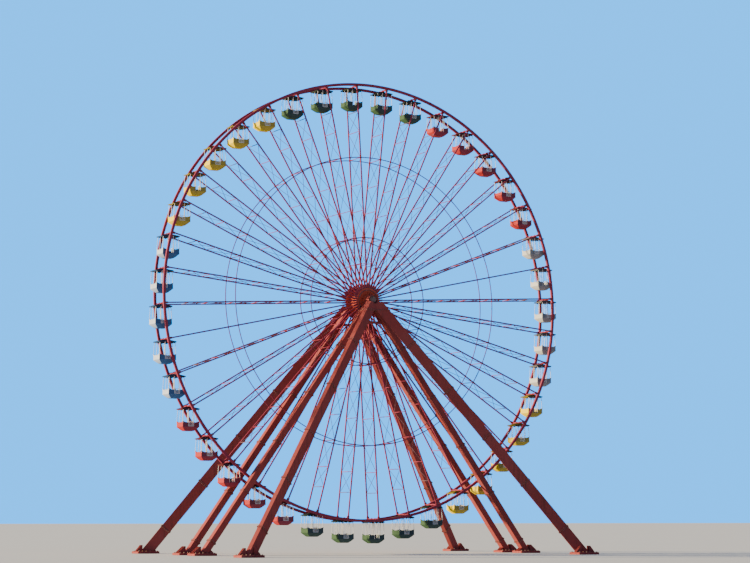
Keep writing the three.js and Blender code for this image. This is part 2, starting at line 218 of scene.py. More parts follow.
class StageSettings(bpy.types.PropertyGroup):
    """The floor, the backdrop and the light."""
    floor: colour("Floor", "Colour of the floor", (0.56, 0.57, 0.58))
    backdrop: colour("Backdrop", "Colour behind the wheel", (0.01, 0.36, 1.0))
    backdrop_strength: strength("Backdrop strength", "Brightness behind the wheel", 2.6)
    fill: colour("Fill colour", "Colour of the soft light from all round", (0.42, 0.62, 1.0))
    fill_strength: strength("Fill strength", "Soft light from all round", 0.55)
    sun_colour: colour("Key colour", "Colour of the low key light", (1.0, 0.8, 0.48))
    sun_strength: strength("Key strength", "Strength of the key light", 16.0)
    sun_width: FloatProperty(name="Key width", description="Apparent size of the key light, for soft shadows",
                             default=radians(7), subtype="ANGLE")


# Node trees

SOCKET_KINDS = {float: "NodeSocketFloat", int: "NodeSocketInt", tuple: "NodeSocketColor",
                type(None): "NodeSocketMaterial"}


def arithmetic(operation, swapped=False):
    """A method that works a value out further with a Math node."""
    def method(value, other):
        return value.graph.maths(operation, *((other, value) if swapped else (value, other)))
    return method


class Value:
    """A node's output. Sums, products and quotients with it become Math nodes of its tree."""
    __add__ = arithmetic("ADD")
    __sub__ = arithmetic("SUBTRACT")
    __mul__ = arithmetic("MULTIPLY")
    __truediv__ = arithmetic("DIVIDE")
    __rtruediv__ = arithmetic("DIVIDE", swapped=True)

    def __init__(self, graph, socket):
        self.graph = graph
        self.socket = socket

    def clamped(self):
        """Holds the last step's result between 0 and 1."""
        self.socket.node.use_clamp = True
        return self

    def between(self, start, end):
        """0 on start's side, 1 on end's side, and smooth between them."""
        return self.graph.shader("MapRange", Value=self, From_Min=start, From_Max=end,
                                 interpolation_type="SMOOTHSTEP")


class Graph:
    """A node tree in the making. Its methods add nodes and return their outputs."""

    def __init__(self, tree):
        self.tree = tree

    def feed(self, socket, value):
        """Gives an input a plain value or links it to another node's output."""
        if isinstance(value, Value):
            self.tree.links.new(value.socket, socket)
        else:
            socket.default_value = value

    def node(self, kind, **options):
        """Adds a node. Names in small letters are its settings, the others its inputs with _ for a space."""
        made = self.tree.nodes.new(kind)
        for key, value in options.items():
            if key.islower():
                setattr(made, key, value)
        for key, value in options.items():
            if not key.islower():
                self.feed(made.inputs[key.replace("_", " ")], value)
        return made

    def shader(self, kind, output=0, **options):
        return Value(self, self.node("ShaderNode" + kind, **options).outputs[output])

    def outputs(self, kind, **options):
        """All outputs of a shader node."""
        return [Value(self, socket) for socket in self.node("ShaderNode" + kind, **options).outputs]

    def shape(self, kind, **options):
        return Value(self, self.node("GeometryNode" + kind, **options).outputs[0])

    def maths(self, operation, *values):
        made = self.node("ShaderNodeMath", operation=operation)
        for socket, value in zip(made.inputs, values):
            self.feed(socket, value)
        return Value(self, made.outputs[0])

    def vector(self, x=0.0, y=0.0, z=0.0):
        return self.shader("CombineXYZ", X=x, Y=y, Z=z)

    # Surfaces

    def place(self):
        return self.shader("TexCoord", "Object")

    def noise(self, vector, scale, detail=4.0, roughness=0.55):
        return self.shader("TexNoise", "Fac", Vector=vector, Scale=scale, Detail=detail, Roughness=roughness)

    def streaky(self, vector, stretch, detail, roughness=0.55):
        """Noise drawn out by different scales along the three axes."""
        return self.noise(self.shader("Mapping", Vector=vector, Scale=stretch), 1.0, detail, roughness)

    def toned(self, tint, saturation, brightness):
        return self.shader("HueSaturation", Color=tint, Saturation=saturation, Value=brightness)

    def mixed(self, factor, low, high, blend="MIX"):
        made = self.node("ShaderNodeMix", data_type="RGBA", blend_type=blend)
        for index, value in ((0, factor), (6, low), (7, high)):
            self.feed(made.inputs[index], value)
        return Value(self, made.outputs[2])

    def surface(self, shade, roughness, height=None, depth=0.0, metallic=0.0, coat=0.0, specular=0.5):
        """Feeds the Principled shader. Depth is the bump's full height in metres."""
        inputs = {"Base Color": shade, "Roughness": roughness, "Metallic": metallic, "Coat Weight": coat,
                  "Coat Roughness": 0.18, "Specular IOR Level": specular}
        if height:
            inputs["Normal"] = self.shader("Bump", Height=height, Distance=depth, Strength=0.6)
        for key, value in inputs.items():
            self.feed(self.tree.nodes["Principled BSDF"].inputs[key], value)

    def skin(self, group, values, **even):
        """Feeds the Principled shader from a group that gives a colour, a roughness and a height."""
        self.surface(*self.outputs("Group", node_tree=group, **values), **even)

    # Shapes

    def box(self, x, y, z):
        return self.shape("MeshCube", Size=self.vector(x, y, z))

    def moved(self, shape, place=(0, 0, 0), turn=(0, 0, 0)):
        return self.shape("Transform", Geometry=shape, Translation=place, Rotation=turn)

    def joined(self, *shapes):
        join = self.node("GeometryNodeJoinGeometry")
        for shape in shapes:
            self.feed(join.inputs[0], shape)
        return Value(self, join.outputs[0])

    def painted(self, shape, material):
        return self.shape("SetMaterial", Geometry=shape, Material=material)

    def real(self, shape):
        return self.shape("RealizeInstances", Geometry=shape)

    def circle(self, radius, steps):
        return self.shape("CurvePrimitiveCircle", Resolution=steps, Radius=radius)

    def rectangle(self, width, height):
        return self.shape("CurvePrimitiveQuadrilateral", Width=width, Height=height)

    def square_tube(self, width, corner_share=0.14):
        """The outline of a square tube with rounded corners."""
        return self.shape("FilletCurve", Curve=self.rectangle(width, width), Radius=width * corner_share,
                          Count=2, mode="POLY")

    def bar(self, start, end, profile):
        line = self.shape("CurvePrimitiveLine", Start=start, End=end)
        return self.shape("CurveToMesh", Curve=line, Profile_Curve=profile, Fill_Caps=True)

    def hoop(self, radius, profile, steps):
        """A ring round the Y axis."""
        ring = self.shape("CurveToMesh", Curve=self.circle(radius, steps), Profile_Curve=profile)
        return self.moved(ring, turn=(pi / 2, 0, 0))

    def on_points(self, points, shape):
        return self.shape("InstanceOnPoints", Points=points, Instance=shape)

    def turned_copies(self, shape, count, first_turn):
        """Copies of a shape turned about the Y axis in equal steps."""
        turn = self.shape("InputIndex") * (2 * pi / count) + first_turn
        points = self.shape("Points", Count=count)
        return self.shape("InstanceOnPoints", Points=points, Instance=shape, Rotation=self.vector(y=turn))


def node_group(kind, name, **defaults):
    """Turns a function that wires nodes into one that makes the group at its first call and keeps it."""
    def kept(wire):
        def group():
            if name in bpy.data.node_groups:
                return bpy.data.node_groups[name]
            graph = Graph(bpy.data.node_groups.new(name, kind))
            interface = graph.tree.interface
            for key, default in defaults.items():
                socket = interface.new_socket(key.replace("_", " "), in_out="INPUT",
                                              socket_type=SOCKET_KINDS[type(default)])
                if default is not None:
                    socket.default_value = default
            sockets = graph.tree.nodes.new("NodeGroupInput").outputs
            given = {key.lower(): Value(graph, sockets[key.replace("_", " ")]) for key in defaults}
            results = wire(graph, **given)
            for label, value in results.items():
                interface.new_socket(label, in_out="OUTPUT", socket_type=value.socket.bl_idname)
            output = graph.tree.nodes.new("NodeGroupOutput")
            for label, value in results.items():
                graph.feed(output.inputs[label], value)
            return graph.tree
        return group
    return kept


shader_group = partial(node_group, "ShaderNodeTree")
shape_group = partial(node_group, "GeometryNodeTree")


# Shader groups

@shader_group("weathered paint", Colour=GREY, Chalk=0.35, Rust=0.3, Streaks=0.35, Gloss=0.55)
def weathered_paint_group(g, colour, chalk, rust, streaks, gloss):
    """Old brushed paint on steel: chalky patches, rain streaks, rust freckles and brush texture."""
    place = g.place()
    patches = g.noise(place, 0.55, 5.0).between(0.42, 0.68)
    mottle = g.noise(place, 5.0, 6.0, 0.65)
    runs = g.streaky(place, (9.0, 9.0, 0.5), 5.0).between(0.5, 0.72)
    freckles = g.noise(place, 7.5, 9.0, 0.72).between(0.615, 0.7)
    rusty_areas = g.noise(place, 0.9, 3.0).between(0.4, 0.62)
    rusty = (freckles * rusty_areas * rust).clamped()
    shade = g.mixed(patches * chalk, colour, g.toned(colour, 0.9, 1.2))
    shade = g.mixed(mottle * 0.35, shade, g.mixed(1.0, shade, MOTTLE, "MULTIPLY"))
    shade = g.mixed(runs * streaks, shade, RAIN_STREAK)
    shade = g.mixed(rusty, shade, g.mixed(mottle, DARK_RUST, LIGHT_RUST))
    rough = rusty * 0.35 + (mottle * 0.12 + (patches * 0.2 + gloss))
    height = rusty * 0.6 + (g.noise(place, 55.0, 3.0) * 0.35 + mottle * 0.5)
    return {"Colour": shade, "Roughness": rough.clamped(), "Height": height}


@shader_group("worn gelcoat", Colour=GREY, Bleach=0.4, Grime=0.5, Fade=0.0)
def gelcoat_group(g, colour, bleach, grime, fade):
    """Moulded coloured plastic left in the sun, with rain runs and painted light and shade: a pale highlight
    for the sun's glare on the end that faces the key light, bluish sky shade on the door and back sides, and
    darkening above the knee, most on those sides.
    """
    place = g.place()
    normal_x, normal_y, normal_z = g.outputs("SeparateXYZ", Vector=g.shader("NewGeometry", "Normal"))
    level = g.shader("SeparateXYZ", "Z", Vector=g.shader("Attribute", "Vector", attribute_name="place"))
    cloudy = g.noise(place, 2.6, 5.0)
    scratches = g.streaky(place, (14.0, 14.0, 70.0), 4.0, 0.7)
    runs = g.streaky(place, (9.0, 9.0, 0.7), 3.0).between(0.46, 0.7)
    skyward = normal_z.between(0.1, 0.9)
    # Painted highlight: faces towards -X, where the key light comes from, are marked for a pale glare.
    glare_side = normal_x.between(-0.45, -0.85) * (cloudy * 0.8 + 0.6)
    door_side = g.maths("ABSOLUTE", normal_y).between(0.35, 0.8)
    # Painted shade and real dirt: above the knee the faces are darkened for the shade they stand in, and rain
    # runs darken them too; both are strongest on the door and back sides.
    band = level.between(-0.97, -0.93)
    dirt = ((band * 0.35 + runs * 0.4) * grime * (door_side * 0.8 + 0.2)).clamped()
    shade = g.mixed(((cloudy * 0.6 + skyward) * bleach).clamped(), colour, g.toned(colour, 0.8, 1.35))
    # Painted highlight: the sunward end is mixed towards the pale glare tint.
    shade = g.mixed((glare_side * fade).clamped(), shade, PAINTED_GLARE)
    # Painted shade: the door and back sides are tinted bluish for the sky-lit shade on them.
    shade = g.mixed(door_side * (cloudy * 0.3 + 0.3), shade, PAINTED_SKY_SHADE)
    shade = g.mixed(dirt, shade, GRIME_AND_SHADE)
    rough = dirt * 0.35 + (scratches * 0.1 + (cloudy * 0.2 + 0.45))
    height = scratches * 0.25 + g.noise(place, 38.0, 2.0)
    return {"Colour": shade, "Roughness": rough.clamped(), "Height": height}


# Materials

def finish(wire):
    """Turns a function that wires a shader into one that makes a named material once and keeps it."""
    def material(name, *values, **options):
        if name in bpy.data.materials:
            return bpy.data.materials[name]
        made = bpy.data.materials.new(name)
        made.use_nodes = True
        wire(Graph(made.node_tree), *values, **options)
        return made
    return material


def rgba(values, factor=1.0):
    return (*(value * factor for value in values), 1.0)


@finish
def painted_steel(g, shade, chalk, rust, streaks):
    values = {"Colour": rgba(shade), "Chalk": chalk, "Rust": rust, "Streaks": streaks}
    g.skin(weathered_paint_group(), values, depth=0.002, specular=0.05)


@finish
# Besides bleaching and grime, this finish carries a painted highlight on the sunward end and painted shade on
# the door and back sides.
def gelcoat(g, shade, bleach, grime, coat=0.03, fade=0.0):
    values = {"Colour": rgba(shade), "Bleach": bleach, "Grime": grime, "Fade": fade}
    g.skin(gelcoat_group(), values, depth=0.0008, coat=coat, specular=0.06)


@finish
def turned_steel(g, shade):
    """Greasy machined steel with lathe rings round the Y axis and brown stain."""
    place = g.place()
    rings = g.streaky(place, (0.6, 60.0, 0.6), 3.0)
    stain = g.noise(place, 6.0, 6.0).between(0.45, 0.7)
    tone = g.mixed(stain, g.mixed(rings, rgba(shade, 0.75), rgba(shade, 1.15)), GREASE)
    g.surface(tone, stain * 0.3 + (rings * 0.15 + 0.25), rings, depth=0.0006, metallic=0.9)


@finish
def fastener_steel(g, shade):
    """Dull zinc with patches of rust."""
    place = g.place()
    spangle = g.shader("TexVoronoi", Vector=place, Scale=90.0)
    rust = g.noise(place, 9.0, 6.0).between(0.45, 0.62)
    tone = g.mixed(rust, g.mixed(spangle, rgba(shade, 0.8), rgba(shade, 1.25)), FASTENER_RUST)
    g.surface(tone, rust * 0.35 + 0.4, spangle, depth=0.0004, metallic=0.55)


@finish
def tread_plate(g):
    """Grey floor plate with a raised lozenge pattern and dirt on it."""
    place = g.shader("Attribute", "Vector", attribute_name="place")
    turned = g.shader("Mapping", Vector=place, Rotation=(0, 0, pi / 4), Scale=(46, 46, 46))
    lozenges, raised = g.outputs("TexChecker", Vector=turned, Scale=1.0)
    dirt = g.noise(place, 12.0, 5.0).between(0.4, 0.7)
    tone = g.mixed(dirt, g.mixed(lozenges, TREAD_LOW, TREAD_HIGH), TREAD_DIRT)
    g.surface(tone, dirt * 0.3 + 0.5, raised, depth=0.001, metallic=0.3)


@finish
def swept_floor(g, shade):
    tone = g.mixed(g.noise(g.place(), 0.08, 3.0), rgba(shade, 0.97), rgba(shade, 1.03))
    g.surface(tone, roughness=0.9)


def wheel_paint():
    shade = bpy.context.scene.fw_wheel.paint
    return painted_steel("weathered_wheel_paint", shade, chalk=0.3, rust=0.55, streaks=0.25)


# Painted light: a lighter, more orange copy of the wheel paint for the sunlit hub, flanges and ribs.
def hub_paint():
    shade = bpy.context.scene.fw_wheel.hub_paint
    return painted_steel("weathered_hub_paint", shade, chalk=0.3, rust=0.7, streaks=0.35)


def rod_paint():
    return painted_steel("rod_paint", bpy.context.scene.fw_wheel.rod_paint, chalk=0.3, rust=0.3, streaks=0.3)


def tower_paint():
    shade = bpy.context.scene.fw_tower.paint
    return painted_steel("weathered_tower_paint", shade, chalk=0.35, rust=0.65, streaks=0.45)


def bolts_steel():
    return fastener_steel("fastener_steel", bpy.context.scene.fw_wheel.fastener)


# Mesh helpers

def modified(mesh, kind, inputs=None, keep_layers=False, **settings):
    """The plain mesh that a modifier makes of a mesh, which it uses up."""
    carrier = bpy.data.objects.new("carrier", mesh)
    bpy.context.scene.collection.objects.link(carrier)
    modifier = carrier.modifiers.new("Shape", kind)
    for key, value in settings.items():
        setattr(modifier, key, value)
    for identifier, value in (inputs or {}).items():
        modifier[identifier] = value
    bpy.context.view_layer.update()
    graph = bpy.context.evaluated_depsgraph_get()
    made = bpy.data.meshes.new_from_object(carrier.evaluated_get(graph), preserve_all_data_layers=keep_layers,
                                           depsgraph=graph)
    bpy.data.objects.remove(carrier)
    bpy.data.meshes.remove(mesh)
    return made


def grown(tree, matrix, **values):
    """The mesh that a geometry node group makes with the named inputs, put in place."""
    inputs = {item.identifier: values[item.name.replace(" ", "_")] for item in tree.interface.items_tree
              if item.name.replace(" ", "_") in values}
    mesh = modified(bpy.data.meshes.new("carrier"), "NODES", inputs, node_group=tree)
    if not mesh.polygons:
        raise RuntimeError(f"{tree.name} made no faces")
    mesh.transform(matrix)
    return mesh


def mesh_from(bm, *materials):
    mesh = bpy.data.meshes.new("part")
    bm.to_mesh(mesh)
    bm.free()
    for material in materials:
        mesh.materials.append(material)
    return mesh


def skin_from(bm, *materials):
    """A mesh of closed skins with their faces turned outwards."""
    bmesh.ops.recalc_face_normals(bm, faces=bm.faces)
    return mesh_from(bm, *materials)


def softened(node, radius, material):
    """A copy of a CAD node with its doubles merged and its edges rounded."""
    bm = bmesh.new()
    bm.from_mesh(frame["nodes"][node].data)
    bmesh.ops.remove_doubles(bm, verts=bm.verts, dist=MERGE_DISTANCE)
    bmesh.ops.dissolve_limit(bm, angle_limit=FLAT_ANGLE, verts=bm.verts, edges=bm.edges)
    for face in bm.faces:
        face.material_index = 0
    return modified(mesh_from(bm, material), "BEVEL", width=radius, segments=2, limit_method="ANGLE",
                    angle_limit=ROUNDED_ANGLE)


def delivered(name, mesh, body, slot, *nodes):
    """Finishes a mesh with crisp corners and flat large faces, as a piece that rides on a body."""
    mesh.shade_smooth()
    mesh.set_sharp_from_angle(angle=SHARP_ANGLE)
    finished = modified(mesh, "WEIGHTED_NORMAL", keep_layers=True, keep_sharp=True, weight=FACE_WEIGHT)
    finished.name = name
    piece = bpy.data.objects.new(name, finished)
    bpy.context.scene.collection.objects.link(piece)
    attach(piece, body)
    if nodes:
        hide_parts(*nodes)


def welded(parts):
    """One mesh of several, each with its own materials."""
    whole = bmesh.new()
    materials = []
    for part in parts:
        materials += [material for material in part.materials if material not in materials]
        indices = [materials.index(material) for material in part.materials]
        first = len(whole.faces)
        whole.from_mesh(part)
        whole.faces.ensure_lookup_table()
        for face in whole.faces[first:]:
            face.material_index = indices[face.material_index]
        bpy.data.meshes.remove(part)
    return mesh_from(whole, *materials)


def shifted(x, y, z):
    return Matrix.Translation((x, y, z))


def facing(sign, distance=0.0):
    """A matrix that far from the hub along the axle, its Z axis pointing on to the front (-1) or rear (1)."""
    return Matrix.Translation(HUB) @ Matrix.Rotation(-sign * pi / 2, 4, "X") @ shifted(0, 0, distance)


def loft(bm, rings, kinds=0, skip=None, closed=False):
    """Skin over rings of points, with two end faces or closed on itself.

    Rings run anticlockwise seen from above, and outer walls run upwards.
    """
    grid = [[bm.verts.new(point) for point in ring] for ring in rings]
    if closed:
        grid.append(grid[0])
    if isinstance(kinds, int):
        kinds = [kinds] * (len(grid) - 1)
    count = len(rings[0])
    for level, kind in enumerate(kinds):
        low, high = grid[level:level + 2]
        for column in range(count):
            if skip and skip(level, column):
                continue
            after = (column + 1) % count
            bm.faces.new((low[column], low[after], high[after], high[column])).material_index = kind
    if not closed:
        bm.faces.new(reversed(grid[0])).material_index = kinds[0]
        bm.faces.new(grid[-1]).material_index = kinds[-1]
    return grid


def circle(radius, sides, matrix):
    return [matrix @ Vector((radius * cos(2 * pi * k / sides), radius * sin(2 * pi * k / sides), 0))
            for k in range(sides)]


def add_turned(bm, profile, sides, matrix, kind=0):
    """A turned solid from (radius, height) pairs, closed at both ends or, for a ring, on itself."""
    closed = profile[0] == profile[-1]
    rings = [circle(radius, sides, matrix @ shifted(0, 0, height)) for radius, height in profile]
    loft(bm, rings[:-1] if closed else rings, kind, closed=closed)


def add_tube(bm, start, end, radius, sides, kind):
    start, along = Vector(start), Vector(end) - Vector(start)
    matrix = Matrix.Translation(start) @ along.to_track_quat("Z", "Y").to_matrix().to_4x4()
    add_turned(bm, [(radius, 0), (radius, along.length)], sides, matrix, kind)


def add_block(bm, low, high, bevel, kind):
    """A box between two corners, with its edges cut off by the bevel."""
    low, high = Vector(low), Vector(high)
    scale = Matrix.Diagonal((*(high - low), 1))
    made = bmesh.ops.create_cube(bm, size=1.0, matrix=Matrix.Translation((low + high) / 2) @ scale)
    faces = {face for vert in made["verts"] for face in vert.link_faces}
    edges = list({edge for face in faces for edge in face.edges})
    cut = bmesh.ops.bevel(bm, geom=edges, offset=bevel, segments=2, affect="EDGES", profile=0.5)
    for face in {face for face in faces if face.is_valid} | set(cut["faces"]):
        face.material_index = kind


# Geometry node groups

@shape_group("bolt", Size=0.03)
def bolt_group(g, size):
    """A hexagon head on a washer, standing on the XY plane."""
    height = size * 0.62
    head = g.shape("MeshCylinder", Vertices=6, Radius=size / 2.0, Depth=height)
    washer = g.shape("MeshCylinder", Vertices=10, Radius=size / 2.0 * 1.35, Depth=size * 0.14)
    return {"Geometry": g.joined(g.moved(head, g.vector(z=height / 2.0)), washer)}


@shape_group("bolted plate", Length=0.2, Width=0.1, Thickness=0.01, Rows=2, Columns=2, Bolt_Size=0.02,
             Paint=None, Bolt_Steel=None)
def bolted_plate_group(g, length, width, thickness, rows, columns, bolt_size, paint, bolt_steel):
    """A plate on the XY plane with a grid of bolts on it."""
    margin = bolt_size * 2.4
    grid = g.shape("MeshGrid", Size_X=length - margin, Size_Y=width - margin, Vertices_X=rows,
                   Vertices_Y=columns)
    bolts = g.on_points(grid, g.shape("Group", node_tree=bolt_group(), Size=bolt_size))
    bolts = g.moved(bolts, g.vector(z=thickness / 2.0))
    plate = g.painted(g.box(length, width, thickness), paint)
    return {"Geometry": g.real(g.joined(plate, g.painted(bolts, bolt_steel)))}


@shape_group("bolt circle", Count=12, Radius=0.2, Bolt_Size=0.03, Bolt_Steel=None)
def bolt_circle_group(g, count, radius, bolt_size, bolt_steel):
    """Bolts in a circle on the XY plane."""
    ring = g.shape("MeshCircle", Vertices=count, Radius=radius)
    bolts = g.on_points(ring, g.shape("Group", node_tree=bolt_group(), Size=bolt_size))
    return {"Geometry": g.painted(g.real(bolts), bolt_steel)}


@shape_group("ribs", Count=HUB_RIBS, Inner_Radius=0.4, Outer_Radius=0.5, Depth=0.5, Thickness=0.02,
             Paint=None)
def ribs_group(g, count, inner_radius, outer_radius, depth, thickness, paint):
    """Ribs round the Y axis, each a flat bar that stands out from a drum or boss."""
    rib = g.box(thickness, depth, outer_radius - inner_radius)
    middle = g.vector(z=(outer_radius + inner_radius) * 0.5)
    return {"Geometry": g.painted(g.real(g.turned_copies(g.moved(rib, middle), count, 0.0)), paint)}


@shape_group("braced bays", First_Radius=1.8, Bay_Length=1.27, Bay_Count=BAY_COUNT, Reach=0.5, Strut=0.025,
             Rod=0.013, Paint=None, Rod_Paint=None)
def braced_bays_group(g, first_radius, bay_length, bay_count, reach, strut, rod, paint, rod_paint):
    """Bays in a row along Z: a strut along Y at each bay's outer end and two crossed rods in it."""
    back = reach * -1.0
    near_high, far_high = (g.vector(y=y, z=bay_length) for y in (back, reach))
    round_rod = g.circle(rod / 2.0, 8)
    strut = g.bar(near_high, far_high, g.circle(strut / 2.0, 10))
    rods = g.joined(g.bar(g.vector(y=back), far_high, round_rod),
                    g.bar(g.vector(y=reach), near_high, round_rod))
    bay = g.joined(g.painted(strut, paint), g.painted(rods, rod_paint))
    line = g.shape("MeshLine", Count=bay_count, Start_Location=g.vector(z=first_radius),
                   Offset=g.vector(z=bay_length))
    return {"Geometry": g.on_points(line, bay)}


@shape_group("wheel bracing", Spokes=SPOKE_COUNT, First_Turn=0.0, Reach=0.5, Strut=0.025, Rod=0.013,
             Paint=None, Rod_Paint=None)
def wheel_bracing_group(g, spokes, first_turn, reach, strut, rod, paint, rod_paint):
    """The struts and crossed rods between the two sides, in the plane of each pair of spokes."""
    bays = partial(g.shape, "Group", node_tree=braced_bays_group(), Reach=reach, Strut=strut, Rod=rod,
                   Rod_Paint=rod_paint)
    inner = bays(First_Radius=FIRST_STRUT_RADIUS, Bay_Length=BAY_LENGTH, Bay_Count=BAY_COUNT, Paint=paint)
    last_start = FIRST_STRUT_RADIUS + BAY_COUNT * BAY_LENGTH
    last = bays(First_Radius=last_start, Bay_Length=LAST_STRUT_RADIUS - last_start, Bay_Count=1,
                Paint=rod_paint)
    ends = (g.vector(y=y, z=FIRST_STRUT_RADIUS) for y in (reach * -1.0, reach))
    first = g.painted(g.bar(*ends, g.circle(strut / 2.0, 10)), paint)
    return {"Geometry": g.real(g.turned_copies(g.joined(inner, last, first), spokes, first_turn))}


@shape_group("wheel side", Spokes=SPOKE_COUNT, First_Turn=0.0, Inward=1.0, Rim_Radius=10.0, Rim_Width=0.1,
             Rim_Steps=240, Spoke_Width=0.06, Ring_Tube=0.04, Bolt_Size=0.02, Paint=None, Bolt_Steel=None)
def wheel_side_group(g, spokes, first_turn, inward, rim_radius, rim_width, rim_steps, spoke_width, ring_tube,
                     bolt_size, paint, bolt_steel):
    """A side of the wheel round the origin: rim, spokes with their plates, rings and pivot bearings."""
    rim = g.hoop(rim_radius, g.square_tube(rim_width), rim_steps)
    rings = [g.hoop(radius, g.circle(ring_tube / 2.0, 12), rim_steps) for radius in RING_RADII]
    spoke = g.bar((0, 0, FLANGE_RADIUS - 0.25 * METRE), (0, 0, RIM_INNER_RADIUS + 0.05 * METRE),
                  g.square_tube(spoke_width))

    def plate(radius, plate_length, width, rows, outward):
        """A bolted plate on a spoke's outer or inner face."""
        made = g.shape("Group", node_tree=bolted_plate_group(), Length=plate_length, Width=width,
                       Thickness=0.02 * METRE, Rows=rows, Columns=2, Bolt_Size=bolt_size, Paint=paint,
                       Bolt_Steel=bolt_steel)
        upright = g.moved(made, turn=(0, pi / 2, pi / 2))
        turned = g.moved(upright, turn=g.vector(z=inward * (-outward * pi / 2) - pi / 2))
        away = inward * ((spoke_width * 0.5 + 0.008 * METRE) * -outward)
        return g.moved(turned, g.vector(y=away, z=radius))

    plates = g.joined(*(plate(*sizes, outward) for sizes in SPOKE_PLATES for outward in (1, -1)))
    inner_face = RIM_TUBE / 2 - 0.01 * METRE
    block_depth = 0.1 * METRE
    block = g.moved(g.box(0.2 * METRE, block_depth, 0.34 * METRE),
                    g.vector(y=inward * (inner_face - block_depth / 2), z=PIVOT_RADIUS - 0.06 * METRE))
    collar = g.shape("CurveToMesh", Curve=g.circle(0.095 * METRE, 20),
                     Profile_Curve=g.rectangle(0.05 * METRE, 0.06 * METRE))
    collar = g.moved(collar, g.vector(y=inward * (inner_face + 0.03 * METRE), z=PIVOT_RADIUS), (pi / 2, 0, 0))
    joint_plate = g.box(0.05 * METRE, RIM_TUBE + 0.04 * METRE, RIM_TUBE - 0.02 * METRE)
    joint = g.joined(*(g.moved(joint_plate, (x, 0, RIM_RADIUS)) for x in (-0.03 * METRE, 0.03 * METRE)))
    arms = g.turned_copies(g.joined(spoke, block, collar), spokes, first_turn)
    joints = g.turned_copies(joint, spokes / 2.0, first_turn + pi / spokes)
    steelwork = g.painted(g.joined(rim, *rings, arms, joints), paint)
    return {"Geometry": g.real(g.joined(steelwork, g.turned_copies(plates, spokes, first_turn)))}


@shape_group("leg joints", Width=0.3, Depth=0.3, Collar=0.03, Plate=0.025, First=2.0, Spacing=2.8, Count=4,
             Bolt_Size=0.03, Paint=None, Bolt_Steel=None)
def leg_joints_group(g, width, depth, collar, plate, first, spacing, count, bolt_size, paint, bolt_steel):
    """Bolted joints along a leg that runs down the Z axis: two collar plates with bolts all round."""
    collar_plate = g.box(width + collar * 2.0, depth + collar * 2.0, plate)
    plates = g.joined(*(g.moved(collar_plate, g.vector(z=plate * z)) for z in (0.54, -0.54)))
    path = g.shape("ResampleCurve", Curve=g.rectangle(width + collar, depth + collar), Count=20)
    bolts = g.on_points(path, g.shape("Group", node_tree=bolt_group(), Size=bolt_size))
    bolts = g.joined(*(g.moved(bolts, g.vector(z=plate * z), (turn, 0, 0))
                       for z, turn in ((1.04, 0), (-1.04, pi))))
    line = g.shape("MeshLine", Count=count, Start_Location=g.vector(z=first), Offset=g.vector(z=spacing))
    joint = g.joined(g.painted(plates, paint), g.painted(bolts, bolt_steel))
    return {"Geometry": g.real(g.on_points(line, joint))}


# Gondola, in real metres from its pivot

# Rings of the tub, from outside over the lip to the floor: level, half length, half width, corner radius
TUB_OUTER = (
    (-2.285, 0.34, 0.29, 0.06), (-2.285, 0.4, 0.35, 0.07), (-2.265, 0.45, 0.4, 0.07),
    (-2.11, 0.64, 0.575, 0.07), (-1.96, 0.785, 0.715, 0.05), (-1.925, 0.818, 0.748, 0.045),
    (-1.912, 0.832, 0.762, 0.045), (-1.88, 0.832, 0.762, 0.045), (-1.868, 0.82, 0.75, 0.04),
)
TUB_WALL_LEVELS = (-1.86, -1.7, -1.585)
TUB_WALL_SIZE = (0.816, 0.746, 0.04)
TUB_LIP = (
    (-1.56, 0.816, 0.746, 0.04), (-1.548, 0.83, 0.76, 0.045), (-1.525, 0.835, 0.765, 0.045),
    (-1.505, 0.828, 0.758, 0.045), (-1.5, 0.8, 0.73, 0.035), (-1.505, 0.778, 0.708, 0.03),
    (-1.525, 0.77, 0.7, 0.025),
)
TUB_LINING_SIZE = (0.77, 0.7, 0.025)
TUB_FLOOR = (
    (-1.92, 0.75, 0.68, 0.03), (-2.11, 0.575, 0.51, 0.05), (-2.21, 0.43, 0.37, 0.05),
    (-2.21, 0.2, 0.2, 0.03),
)
FLOOR_LEVEL = -2.21
CORNER_RISE = 0.1
RISE_START = -1.74
CORNER_STEPS = 4
DOOR_HALF_WIDTH = 0.22
DOOR_COLUMNS = (2, 5)
DOOR_STOP = 0.7
DOOR_POST_X = DOOR_HALF_WIDTH + 0.025
GATE_BARS = (-0.13, 0.0, 0.13)
GATE_BAR_LEVELS = (-1.85, -1.42)
OPEN_GATES = (3, 5, 11, 14, 15, 20, 24, 31, 36)
ROOF_CORNER = (0.868, 0.748)
ROOF_NOTCH = 0.07
ROOF_EAVES = -0.245
ROOF_PEAK = -0.045
ROOF_PEAK_SIZE = 0.17
VALANCE_DEPTH = 0.15
SCALLOPS = 4
SCALLOP_STEPS = 5
TIP_DROOP = 0.012
CEILING = -0.275
RAIL_LEVEL = CEILING - 0.012

# Seat, its front board and its back at one end: inner and outer x, half width, bottom, top and bevel
SEAT_BOARDS = (
    (0.38, 0.75, 0.65, -1.84, -1.8, 0.015),
    (0.38, 0.41, 0.36, -2.2, -1.83, 0.008),
    (0.735, 0.768, 0.63, -1.8, -1.58, 0.01),
)
# LINING and ROOF faces get darkened copies of the shell's gelcoat, as painted shade.
SHELL, LINING, POST, FLOOR, SEAT, BAR, STEEL, ROOF = range(8)

# Painted highlight: how far the end of a tub that faces the sun is mixed towards a pale colour, for the sun's
# glare on it
GLARE_BY_TINT = {"blue": 0.5, "yellow": 0.0, "green": 0.0, "red": 0.0, "white": 0.1}


